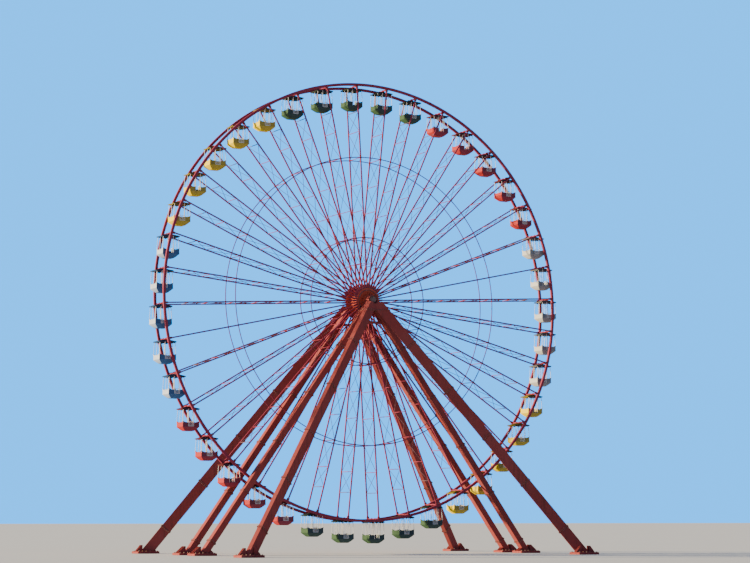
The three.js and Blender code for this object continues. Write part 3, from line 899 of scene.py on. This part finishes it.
def tub_ring(level, half_x, half_y, radius, rise=0.0):
    """A rounded rectangle whose columns include the door's two edges. It rises into its corners."""
    edge = DOOR_HALF_WIDTH / (TUB_WALL_SIZE[0] - TUB_WALL_SIZE[2])
    long_stops = (-1.0, -DOOR_STOP, -edge, -edge / 3, edge / 3, edge, DOOR_STOP)
    short_stops = (-1.0, -0.5, 0.0, 0.5)
    ring = []
    for side in range(4):
        across, away, stops = ((half_x, half_y, long_stops), (half_y, half_x, short_stops))[side % 2]
        straight = across - radius
        points = [Vector((stop * straight, -away)) for stop in stops]
        for step in range(CORNER_STEPS):
            angle = (pi / 2) * step / CORNER_STEPS - pi / 2
            points.append(Vector((straight, radius - away)) + radius * Vector((cos(angle), sin(angle))))
        for point in points:
            x, y = Matrix.Rotation(side * pi / 2, 2) @ point
            corner = (min(abs(x) / half_x, abs(y) / half_y) - 0.78) / 0.16
            ring.append(Vector((x, y, level + rise * min(1.0, max(0.0, corner)) ** 1.6)))
    return ring


def tub_walls(levels, size):
    return [tub_ring(level, *size, rise=CORNER_RISE * max(0.0, (level - RISE_START) * 2.5))
            for level in levels]


def add_tub(bm):
    """The moulded tub with its lip, knee band, lining, floor and the doorway in its front."""
    rings = [tub_ring(*level) for level in TUB_OUTER]
    sill_outer = len(rings)
    rings += tub_walls(TUB_WALL_LEVELS, TUB_WALL_SIZE)
    wall_top = len(rings) - 1
    rings += [tub_ring(*level, rise=CORNER_RISE) for level in TUB_LIP]
    lip_end = len(rings)
    rings += tub_walls(reversed(TUB_WALL_LEVELS), TUB_LINING_SIZE)
    sill_inner = len(rings) - 1
    rings += [tub_ring(*level) for level in TUB_FLOOR]
    first, last = DOOR_COLUMNS
    kinds = [SHELL] * (lip_end - 1) + [LINING] * (len(rings) - 1 - lip_end) + [FLOOR]

    def in_doorway(level, column):
        return sill_outer <= level < sill_inner and first <= column < last

    grid = loft(bm, rings, kinds, skip=in_doorway)
    for column, toward_right in ((first, True), (last, False)):
        frame_faces = [[grid[level][column] for level in range(wall_top, lip_end + 1)][::-1]]
        for step in range(wall_top - sill_outer):
            outer, inner = sill_outer + step, sill_inner - step
            frame_faces.append([grid[level][column] for level in (outer, inner, inner - 1, outer + 1)])
        for corners in frame_faces:
            bm.faces.new(corners if toward_right else reversed(corners)).material_index = SHELL
    for column in range(first, last):
        corners = (grid[sill_outer][column], grid[sill_outer][column + 1],
                   grid[sill_inner][column + 1], grid[sill_inner][column])
        bm.faces.new(corners).material_index = SHELL


def roof_ring(scale, level, valance=0.0, droop=0.0):
    """A four-pointed ring. The valance hangs in scallops and tapers off towards the points."""
    steps = SCALLOPS * SCALLOP_STEPS
    ring = []
    for side in range(4):
        across, away = ROOF_CORNER if side % 2 == 0 else reversed(ROOF_CORNER)
        for step in range(steps):
            t = step / steps
            hollow = ROOF_NOTCH * sin(pi * t) ** 0.7
            point = Matrix.Rotation(side * pi / 2, 2) @ Vector((across * (2 * t - 1), hollow - away)) * scale
            taper = min(1.0, min(t, 1 - t) / 0.1)
            scallop = 1.0 - 0.62 * abs(sin(pi * SCALLOPS * t))
            drop = valance * (0.2 + 0.8 * taper * scallop) + droop * (1 - taper)
            ring.append(Vector((*point, level - drop)))
    return ring


def add_roof(bm):
    """The hipped roof with its scalloped edge, closed below by a ceiling that is dark from painted shade."""
    rings = [roof_ring(0.12, CEILING), roof_ring(0.5, CEILING), roof_ring(0.955, CEILING - 0.005)]
    edge = ((0.972, 0.012, VALANCE_DEPTH), (0.99, 0.018, VALANCE_DEPTH), (1.0, 0.016, 0.012),
            (0.985, 0.0, 0.0))
    rings += [roof_ring(scale, ROOF_EAVES - drop, valance, TIP_DROOP) for scale, drop, valance in edge]
    slope = (ROOF_PEAK - ROOF_EAVES) / (1 - ROOF_PEAK_SIZE)
    rings += [roof_ring(scale, ROOF_EAVES + slope * (1 - scale))
              for scale in (0.93, 0.8, 0.6, 0.4, 0.26, ROOF_PEAK_SIZE)]
    loft(bm, rings, [LINING] * 3 + [ROOF] * (len(rings) - 4))
    for x, y in ((x, y) for x in (-1, 1) for y in (-1, 1)):
        corner = Vector((x * ROOF_CORNER[0], y * ROOF_CORNER[1], 0))
        add_tube(bm, corner * 0.94 + Vector((0, 0, ROOF_EAVES - 0.002)),
                 corner * 0.2 + Vector((0, 0, ROOF_PEAK - 0.002)), 0.014, 8, ROOF)
        add_tube(bm, corner * 0.78 + Vector((0, 0, RAIL_LEVEL)), (0, 0, RAIL_LEVEL), 0.014, 6, LINING)


def add_posts(bm, radius):
    """Posts on the tub's edge, the middle pole, their collars and the rail under the roof."""
    places = [(x * 0.795, y * 0.725, CORNER_RISE * 0.9) for x in (-1, 1) for y in (-1, 1)]
    places += [(x * away, y, 0.0) for away, y in ((DOOR_POST_X, -0.73), (0.25, 0.73), (0.8, 0.0))
               for x in (-1, 1)]
    for x, y, rise in places:
        add_tube(bm, (x, y, -1.55), (x * 0.93, y * 0.92, CEILING + 0.01), radius, 10, POST)
        collar = [(radius * 2.0, 0), (radius * 2.0, 0.03), (radius * 1.2, 0.045)]
        add_turned(bm, collar, 10, shifted(x, y, rise - 1.502), POST)
    for x in (-DOOR_POST_X, DOOR_POST_X):
        add_tube(bm, (x, -0.75, -1.87), (x, -0.75, -1.5), radius * 0.9, 10, POST)
    add_tube(bm, (0, 0, FLOOR_LEVEL), (0, 0, -0.1), radius * 1.4, 12, POST)
    add_turned(bm, [(0.09, 0), (0.09, 0.02), (0.045, 0.05)], 16, shifted(0, 0, FLOOR_LEVEL), POST)
    rail = [(x * 0.74, y * 0.665, RAIL_LEVEL) for x, y in ((1, -1), (1, 1), (-1, 1), (-1, -1))]
    for start, end in zip(rail, rail[1:] + rail[:1]):
        add_tube(bm, start, end, radius * 0.8, 8, LINING)


def add_gate(bm, radius, is_open):
    """The gate: a low panel with bars on it. It stands in the doorway, or swung in at one side."""
    gate = bmesh.new()
    reach = DOOR_HALF_WIDTH - 0.008
    add_block(gate, (-reach, -0.012, -1.845), (reach, 0.012, -1.53), 0.006, SHELL)
    bars = [((-reach, -0.024, level), (reach, -0.024, level)) for level in GATE_BAR_LEVELS]
    bars += [[(x, -0.024, level) for level in GATE_BAR_LEVELS] for x in GATE_BARS]
    for low, high in bars:
        add_tube(gate, low, high, radius * 0.8, 8, POST)
    place = shifted(0, -0.722, 0)
    if is_open:
        hinge = shifted(DOOR_HALF_WIDTH - 0.02, -0.71, 0)
        place = hinge @ Matrix.Rotation(-pi / 2, 4, "Z") @ shifted(-reach, 0, 0)
    gate.transform(place)
    made = mesh_from(gate)
    bm.from_mesh(made)
    bpy.data.meshes.remove(made)


def add_seats(bm):
    for x in (-1, 1):
        for inner, outer, half_width, bottom, top, bevel in SEAT_BOARDS:
            low, high = sorted((x * inner, x * outer))
            add_block(bm, (low, -half_width, bottom), (high, half_width, top), bevel, SEAT)


def add_hanger(bm, radius, bar_end):
    """The pivot bar from rim to rim, with the sleeves and brackets that carry the roof."""
    add_tube(bm, (0, -bar_end, 0), (0, bar_end, 0), radius, 24, BAR)
    sleeve = [(0.002, 0), (0.026, 0), (0.032, 0.01), (0.032, 0.17), (0.026, 0.18), (0.002, 0.18), (0.002, 0)]
    profile = [(radius + wall, height) for wall, height in sleeve]
    for y in (-0.32, 0.32):
        add_turned(bm, profile, 24, shifted(0, y - 0.09, 0) @ Matrix.Rotation(-pi / 2, 4, "X"), BAR)
        for x in (-1, 1):
            foot = Vector((x * 0.22, y, -0.115))
            half_pad = Vector((0.05, 0.06, 0.012))
            add_tube(bm, (x * 0.08, y, -0.04), foot, 0.022, 8, BAR)
            add_block(bm, foot - half_pad, foot + half_pad, 0.004, STEEL)
    add_block(bm, (-0.03, -0.4, -0.2), (0.03, 0.4, -0.07), 0.006, BAR)


def gondola_mesh(settings, is_open):
    """One gondola round its pivot, scaled to the model, with its own place kept as an attribute."""
    bm = bmesh.new()
    post_radius = settings.post / METRE / 2
    add_tub(bm)
    add_roof(bm)
    add_posts(bm, post_radius)
    add_gate(bm, post_radius, is_open)
    add_seats(bm)
    add_hanger(bm, settings.bar / METRE / 2, (SIDE_OFFSET - RIM_TUBE / 2 - BAR_GAP) / METRE)
    bm.transform(Matrix.Scale(METRE, 4))
    mesh = skin_from(bm)
    place = mesh.attributes.new("place", "FLOAT_VECTOR", "POINT")
    for index, vert in enumerate(mesh.vertices):
        place.data[index].vector = vert.co
    return mesh


# Operators

class FW_OT_wheel_sides(bpy.types.Operator):
    """Builds the two spoked sides of the wheel with their rims, rings, plates and bolts"""
    bl_idname = "fw.wheel_sides"
    bl_label = "Wheel Sides"

    def execute(self, context):
        sizes = context.scene.fw_wheel
        bolts = bolts_steel()
        for name, sign in SIDES:
            place = Matrix.Translation(HUB + Vector((0, sign * SIDE_OFFSET, 0)))
            parts = [grown(wheel_side_group(), place, Spokes=SPOKE_COUNT, First_Turn=FIRST_SPOKE_TURN,
                           Inward=-float(sign), Rim_Radius=RIM_RADIUS, Rim_Width=RIM_TUBE,
                           Rim_Steps=sizes.rim_steps, Spoke_Width=sizes.spoke_width,
                           Ring_Tube=sizes.ring_tube, Bolt_Size=sizes.bolt, Paint=wheel_paint(),
                           Bolt_Steel=bolts),
                     self.hub_flange(sign)]
            face = facing(sign, SIDE_OFFSET + FLANGE_THICKNESS / 2)
            for radius, count in ((0.62 * METRE, HUB_RIBS), (0.98 * METRE, SPOKE_COUNT)):
                parts.append(grown(bolt_circle_group(), face, Count=count, Radius=radius,
                                   Bolt_Size=sizes.bolt * 1.2, Bolt_Steel=bolts))
            parts.append(grown(ribs_group(), place, Count=HUB_RIBS, Inner_Radius=0.5 * METRE,
                               Outer_Radius=0.9 * METRE, Depth=FLANGE_THICKNESS + 0.16 * METRE,
                               Thickness=0.03 * METRE, Paint=hub_paint()))
            node = f"{name}_wheel_side"
            delivered(f"{node}_steelwork", welded(parts), "wheel", "wheel_paint", node)
        return {"FINISHED"}

    def hub_flange(self, sign):
        """The disc that the spokes are bolted to, with a raised edge and a boss round the axle."""
        bm = bmesh.new()
        half = FLANGE_THICKNESS / 2
        edge = 0.02 * METRE
        boss = half + 0.1 * METRE
        profile = [(AXLE_RADIUS, -half), (FLANGE_RADIUS - edge, -half), (FLANGE_RADIUS, edge - half),
                   (FLANGE_RADIUS, half - edge), (FLANGE_RADIUS - edge, half), (1.06 * METRE, half),
                   (1.05 * METRE, half - edge), (0.54 * METRE, half - edge), (0.5 * METRE, boss - edge),
                   (0.46 * METRE, boss), (AXLE_RADIUS, boss), (AXLE_RADIUS, -half)]
        add_turned(bm, profile, 120, facing(sign, SIDE_OFFSET))
        return skin_from(bm, hub_paint())


class FW_OT_bracing(bpy.types.Operator):
    """Builds the struts and crossed rods between the wheel's two sides"""
    bl_idname = "fw.bracing"
    bl_label = "Wheel Bracing"

    def execute(self, context):
        sizes = context.scene.fw_wheel
        mesh = grown(wheel_bracing_group(), Matrix.Translation(HUB), Spokes=SPOKE_COUNT,
                     First_Turn=FIRST_SPOKE_TURN, Reach=SIDE_OFFSET - sizes.spoke_width / 4,
                     Strut=sizes.strut_tube, Rod=sizes.rod, Paint=wheel_paint(), Rod_Paint=rod_paint())
        delivered("wheel_bracing", mesh, "wheel", "wheel_paint")
        return {"FINISHED"}


class FW_OT_hub(bpy.types.Operator):
    """Builds the ribbed hub drum and the turned axle"""
    bl_idname = "fw.hub"
    bl_label = "Hub Drum and Axle"

    def execute(self, context):
        delivered("hub_drum_ribbed", welded(self.drum()), "wheel", "wheel_paint", "hub_drum")
        delivered("axle_turned", welded(self.axle(context.scene.fw_wheel)), "wheel", "axle_steel", "axle")
        return {"FINISHED"}

    def drum(self):
        """The drum between the two flanges, with three raised bands and ribs along it."""
        end = SIDE_OFFSET - FLANGE_THICKNESS / 2 - 0.001
        step = 0.03 * METRE
        half_profile = [(AXLE_RADIUS, end), (DRUM_RADIUS + step, end), (DRUM_RADIUS + step, end - 2 * step),
                        (DRUM_RADIUS, end - 3 * step), (DRUM_RADIUS, step), (DRUM_RADIUS + step, step / 2)]
        mirrored = [(radius, -height) for radius, height in reversed(half_profile)]
        bm = bmesh.new()
        add_turned(bm, half_profile + mirrored + half_profile[:1], 96, facing(1))
        ribs = grown(ribs_group(), Matrix.Translation(HUB), Count=HUB_RIBS, Inner_Radius=DRUM_RADIUS - step,
                     Outer_Radius=DRUM_RADIUS + step, Depth=2 * end - step, Thickness=step, Paint=hub_paint())
        return [skin_from(bm, hub_paint()), ribs]

    def axle(self, sizes):
        """The axle, with a bolted keeper plate on each end."""
        steel = turned_steel("greasy_axle_steel", sizes.steel)
        chamfer = 0.02 * METRE
        keeper = 0.035 * METRE
        bm = bmesh.new()
        add_turned(bm, [(AXLE_RADIUS - chamfer, -AXLE_END), (AXLE_RADIUS, chamfer - AXLE_END),
                        (AXLE_RADIUS, AXLE_END - chamfer), (AXLE_RADIUS - chamfer, AXLE_END)], 96, facing(1))
        parts = []
        for sign in (-1, 1):
            face = facing(sign, AXLE_END - 0.001)
            add_turned(bm, [(0.22 * METRE, 0), (0.22 * METRE, 0.025 * METRE), (0.205 * METRE, keeper)],
                       48, face)
            parts.append(grown(bolt_circle_group(), face @ shifted(0, 0, keeper), Count=8,
                               Radius=0.15 * METRE, Bolt_Size=sizes.bolt, Bolt_Steel=bolts_steel()))
        return [skin_from(bm, steel), *parts]


def leg_axis(x_sign, y_sign, leg, drop):
    """The point on a leg's centre line that far below the axle."""
    return Vector((x_sign * LEG_SPREAD * drop, y_sign * (leg["y"] + leg["rake"] * drop), HUB.z - drop))


class FW_OT_legs(bpy.types.Operator):
    """Builds the eight box-girder legs with their bolted joints, foot gussets and anchor bolts"""
    bl_idname = "fw.legs"
    bl_label = "Tower Legs"

    def execute(self, context):
        sizes = context.scene.fw_tower
        for side, y_sign in SIDES:
            for hand, x_sign in HANDS:
                for kind, leg in (("inner", INNER_LEG), ("outer", OUTER_LEG)):
                    node = f"{side}_{hand}_{kind}_leg"
                    parts = [softened(node, sizes.edge_radius, tower_paint()),
                             self.joints(x_sign, y_sign, leg, sizes)]
                    parts += self.foot(leg_axis(x_sign, y_sign, leg, HUB.z), leg, sizes)
                    delivered(f"{node}_girder", welded(parts), "towers", "tower_paint", node)
        return {"FINISHED"}

    def joints(self, x_sign, y_sign, leg, sizes):
        """The leg's bolted joints, in a frame with Z down along the leg and X across it."""
        down = Vector((x_sign * LEG_SPREAD, y_sign * leg["rake"], -1)).normalized()
        side = Vector((x_sign * LEG_SPREAD, y_sign * leg["rake"], 0))
        across = (side - down * side.dot(down)).normalized()
        turn = Matrix((across, down.cross(across), down)).transposed().to_4x4()
        count = int((HUB.z / -down.z - LOWEST_JOINT) / sizes.joint_spacing)
        matrix = Matrix.Translation(leg_axis(x_sign, y_sign, leg, 0)) @ turn
        return grown(leg_joints_group(), matrix, Width=leg["width"], Depth=leg["depth"],
                     Collar=sizes.joint_collar, Plate=sizes.plate, First=sizes.joint_spacing,
                     Spacing=sizes.joint_spacing, Count=count, Bolt_Size=sizes.bolt, Paint=tower_paint(),
                     Bolt_Steel=bolts_steel())

    def foot(self, foot, leg, sizes):
        """Gussets between leg and foot plate, and two rows of anchor bolts on the plate."""
        bm = bmesh.new()
        top = FOOT_THICKNESS
        for x, y in ((x, y) for x in (-1, 1) for y in (-1, 0, 1)):
            inner = x * leg["width"] * 0.4
            middle = y * leg["depth"] * 0.36
            outer = x * (FOOT_LENGTH / 2 - 0.1 * METRE)
            outline = [(inner, top - 0.01), (outer, top - 0.01), (outer, top + 0.08 * METRE),
                       (inner + x * 0.15 * METRE, top + GUSSET_HEIGHT), (inner, top + GUSSET_HEIGHT)][::x]
            loft(bm, [[foot + Vector((across, middle + offset, level)) for across, level in outline]
                      for offset in (sizes.plate / 2, -sizes.plate / 2)])
        parts = [skin_from(bm, tower_paint())]
        for y in (-1, 1):
            place = foot + Vector((0, y * (FOOT_WIDTH / 2 - 0.18 * METRE), top + 0.012 * METRE))
            parts.append(grown(bolted_plate_group(), Matrix.Translation(place),
                               Length=FOOT_LENGTH - 0.1 * METRE, Width=0.3 * METRE, Thickness=0.03 * METRE,
                               Rows=6, Columns=1, Bolt_Size=sizes.bolt * 1.5, Paint=tower_paint(),
                               Bolt_Steel=bolts_steel()))
        return parts


class FW_OT_heads(bpy.types.Operator):
    """Builds the tower heads, the bearing housings on them and the ties between the inner legs"""
    bl_idname = "fw.heads"
    bl_label = "Tower Heads"

    def execute(self, context):
        sizes = context.scene.fw_tower
        for side, y_sign in SIDES:
            head, tie = f"{side}_tower_head", f"{side}_tower_tie"
            parts = [softened(head, sizes.edge_radius, tower_paint())]
            parts += [self.splice(x_sign, y_sign, leg, HUB.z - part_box(head)[0].z, sizes)
                      for x_sign in (-1, 1) for leg in (INNER_LEG, OUTER_LEG)]
            delivered(f"{head}_plated", welded(parts), "towers", "tower_paint", head)
            delivered(f"{side}_bearing_housing", welded(self.bearing(y_sign, sizes)), "towers", "tower_paint",
                      f"{side}_bearing")
            beam = softened(tie, sizes.edge_radius / 2, tower_paint())
            delivered(f"{tie}_beam", beam, "towers", "tower_paint", tie)
        return {"FINISHED"}

    def splice(self, x_sign, y_sign, leg, drop, sizes):
        """The two level plates, bolted together, where a leg meets the head."""
        along = Vector((x_sign * LEG_SPREAD, y_sign * leg["rake"], 0)).normalized()
        turn = Matrix((along, Vector((-along.y, along.x, 0)), Vector((0, 0, 1)))).transposed().to_4x4()
        matrix = Matrix.Translation(leg_axis(x_sign, y_sign, leg, drop)) @ turn
        return grown(leg_joints_group(), matrix, Width=leg["width"] * hypot(1, LEG_SPREAD, leg["rake"]),
                     Depth=leg["depth"], Collar=sizes.joint_collar, Plate=sizes.plate * 0.8, First=0.0,
                     Spacing=1.0, Count=1, Bolt_Size=sizes.bolt * 0.8, Paint=tower_paint(),
                     Bolt_Steel=bolts_steel())

    def bearing(self, y_sign, sizes):
        """The round housing with a raised band at each end, its strap and the bolts of its outer cover."""
        edge = 0.03 * METRE
        bore = AXLE_RADIUS + 0.012 * METRE
        lip = BEARING_RADIUS - 0.02 * METRE
        bm = bmesh.new()
        profile = [(bore, BEARING_INNER_Y), (lip, BEARING_INNER_Y),
                   (BEARING_RADIUS, BEARING_INNER_Y + 0.02 * METRE),
                   (BEARING_RADIUS, BEARING_INNER_Y + 3 * edge), (lip, BEARING_INNER_Y + 4 * edge),
                   (lip, BEARING_OUTER_Y - 4 * edge), (BEARING_RADIUS, BEARING_OUTER_Y - 3 * edge),
                   (BEARING_RADIUS, BEARING_OUTER_Y - 0.02 * METRE), (lip, BEARING_OUTER_Y),
                   (bore, BEARING_OUTER_Y), (bore, BEARING_INNER_Y)]
        add_turned(bm, profile, 96, facing(y_sign))
        self.strap(bm, y_sign)
        bolts = grown(bolt_circle_group(), facing(y_sign, BEARING_OUTER_Y), Count=12, Radius=0.365 * METRE,
                      Bolt_Size=sizes.bolt * 0.7, Bolt_Steel=bolts_steel())
        return [skin_from(bm, tower_paint()), bolts]

    def strap(self, bm, y_sign):
        """The half-round cap over the bearing, from one cheek of the head to the other."""
        inner, outer = BEARING_RADIUS - 0.005 * METRE, BEARING_RADIUS + 0.045 * METRE
        half = 0.2 * METRE
        steps = 24
        middle = facing(y_sign, (BEARING_INNER_Y + BEARING_OUTER_Y) / 2)
        up = 1 if (middle.to_3x3() @ Vector((0, 1, 0))).z > 0 else -1
        section = ((inner, -half), (outer, -half), (outer, half), (inner, half))
        rings = []
        for step in range(steps + 1):
            angle = up * pi * step / steps
            rings.append([middle @ Vector((cos(angle) * radius, sin(angle) * radius, offset))
                          for radius, offset in section])
        loft(bm, rings)


class FW_OT_gondolas(bpy.types.Operator):
    """Builds the forty gondolas with their tubs, roofs, posts, gates and pivot bars"""
    bl_idname = "fw.gondolas"
    bl_label = "Gondolas"

    def execute(self, context):
        settings = context.scene.fw_gondola
        models = {is_open: gondola_mesh(settings, is_open) for is_open in (True, False)}
        seat = gelcoat("seat_moulding", settings.seat, bleach=0.3, grime=0.6, coat=0.1)
        post = painted_steel("post_paint", settings.post_paint, chalk=0.2, rust=0.35, streaks=0.12)
        floor = tread_plate("floor_plate")
        for name, pivot in sorted(PIVOTS.items()):
            slot = SLOTS[name]
            tint = slot.split("_")[1]
            shade = getattr(settings, tint)
            # The shell's sunward end gets the painted glare set per colour in the table above.
            shell = gelcoat(slot + "_shell", shade, bleach=0.02, grime=0.6, fade=GLARE_BY_TINT[tint])
            # Painted shade: the lining, ceiling, rails and roof get darkened copies of the shell's gelcoat,
            # for the shade they lie in.
            lining, roof = (gelcoat(slot + part, rgba(shade, painted_shade_factor)[:3], bleach=0.0, grime=0.6, coat=0.0)
                            for part, painted_shade_factor in (("_lining", 0.25), ("_roof", 0.2)))
            mesh = models[int(name.split("_")[1]) in OPEN_GATES].copy()
            for material in (shell, lining, post, floor, seat, wheel_paint(), bolts_steel(), roof):
                mesh.materials.append(material)
            mesh.transform(Matrix.Translation(pivot))
            delivered(f"{name}_finished", mesh, name, slot, name)
        for model in models.values():
            bpy.data.meshes.remove(model)
        return {"FINISHED"}


class FW_OT_stage(bpy.types.Operator):
    """Sets the pale floor, the soft light and the camera at the photograph's angle"""
    bl_idname = "fw.stage"
    bl_label = "Floor, Light and Camera"

    def execute(self, context):
        settings = context.scene.fw_stage
        self.floor(settings)
        self.backdrop(context, settings)
        key = bpy.data.lights.new("key_light", "SUN")
        key.color = settings.sun_colour
        key.energy = settings.sun_strength
        key.angle = settings.sun_width
        self.placed(key).rotation_euler = KEY_SOURCE.to_track_quat("Z", "Y").to_euler()
        camera = self.placed(bpy.data.cameras.new("camera"))
        camera.data.lens = CAMERA_LENS
        camera.data.sensor_width = SENSOR_WIDTH
        camera.data.clip_end = VIEW_DEPTH
        camera.location = CAMERA_PLACE
        camera.rotation_euler = (pi / 2 + CAMERA_PITCH, 0, -CAMERA_AZIMUTH)
        context.scene.camera = camera
        return {"FINISHED"}

    def placed(self, data):
        made = bpy.data.objects.new(data.name, data)
        bpy.context.scene.collection.objects.link(made)
        return made

    def backdrop(self, context, settings):
        """The fill light shines on the wheel, and the camera sees the backdrop's own colour behind it."""
        world = bpy.data.worlds.new("backdrop")
        context.scene.world = world
        world.use_nodes = True
        g = Graph(world.node_tree)
        fill = world.node_tree.nodes["Background"]
        g.feed(fill.inputs["Color"], rgba(settings.fill))
        g.feed(fill.inputs["Strength"], settings.fill_strength)
        behind = g.shader("Background", Color=rgba(settings.backdrop), Strength=settings.backdrop_strength)
        mix = g.node("ShaderNodeMixShader", Fac=g.shader("LightPath", "Is Camera Ray"))
        g.feed(mix.inputs[1], Value(g, fill.outputs["Background"]))
        g.feed(mix.inputs[2], behind)
        g.feed(g.tree.nodes["World Output"].inputs["Surface"], Value(g, mix.outputs["Shader"]))

    def floor(self, settings):
        bm = bmesh.new()
        bmesh.ops.create_grid(bm, x_segments=1, y_segments=1, size=FLOOR_SIZE)
        mesh = mesh_from(bm, swept_floor("floor", settings.floor))
        mesh.name = "floor"
        self.placed(mesh)


class FW_PT_panel(bpy.types.Panel):
    """Lists the pieces of the ferris wheel in the order they are made"""
    bl_label = "Ferris Wheel"
    bl_idname = "FW_PT_panel"
    bl_space_type = "VIEW_3D"
    bl_region_type = "UI"
    bl_category = "Ferris Wheel"

    def draw(self, context):
        for operator in OPERATORS:
            self.layout.operator(operator.bl_idname)


OPERATORS = (FW_OT_stage, FW_OT_wheel_sides, FW_OT_bracing, FW_OT_hub, FW_OT_legs, FW_OT_heads,
             FW_OT_gondolas)
SETTINGS = {"fw_wheel": WheelSettings, "fw_tower": TowerSettings, "fw_gondola": GondolaSettings,
            "fw_stage": StageSettings}


def register():
    for cls in (*SETTINGS.values(), *OPERATORS, FW_PT_panel):
        bpy.utils.register_class(cls)
    for name, cls in SETTINGS.items():
        setattr(bpy.types.Scene, name, PointerProperty(type=cls))


def unregister():
    for name in SETTINGS:
        delattr(bpy.types.Scene, name)
    for cls in reversed((*SETTINGS.values(), *OPERATORS, FW_PT_panel)):
        bpy.utils.unregister_class(cls)


def main():
    register()
    bpy.ops.fw.stage()
    bpy.ops.fw.wheel_sides()
    bpy.ops.fw.bracing()
    bpy.ops.fw.hub()
    bpy.ops.fw.legs()
    bpy.ops.fw.heads()
    bpy.ops.fw.gondolas()


if __name__ == "__main__":
    main()
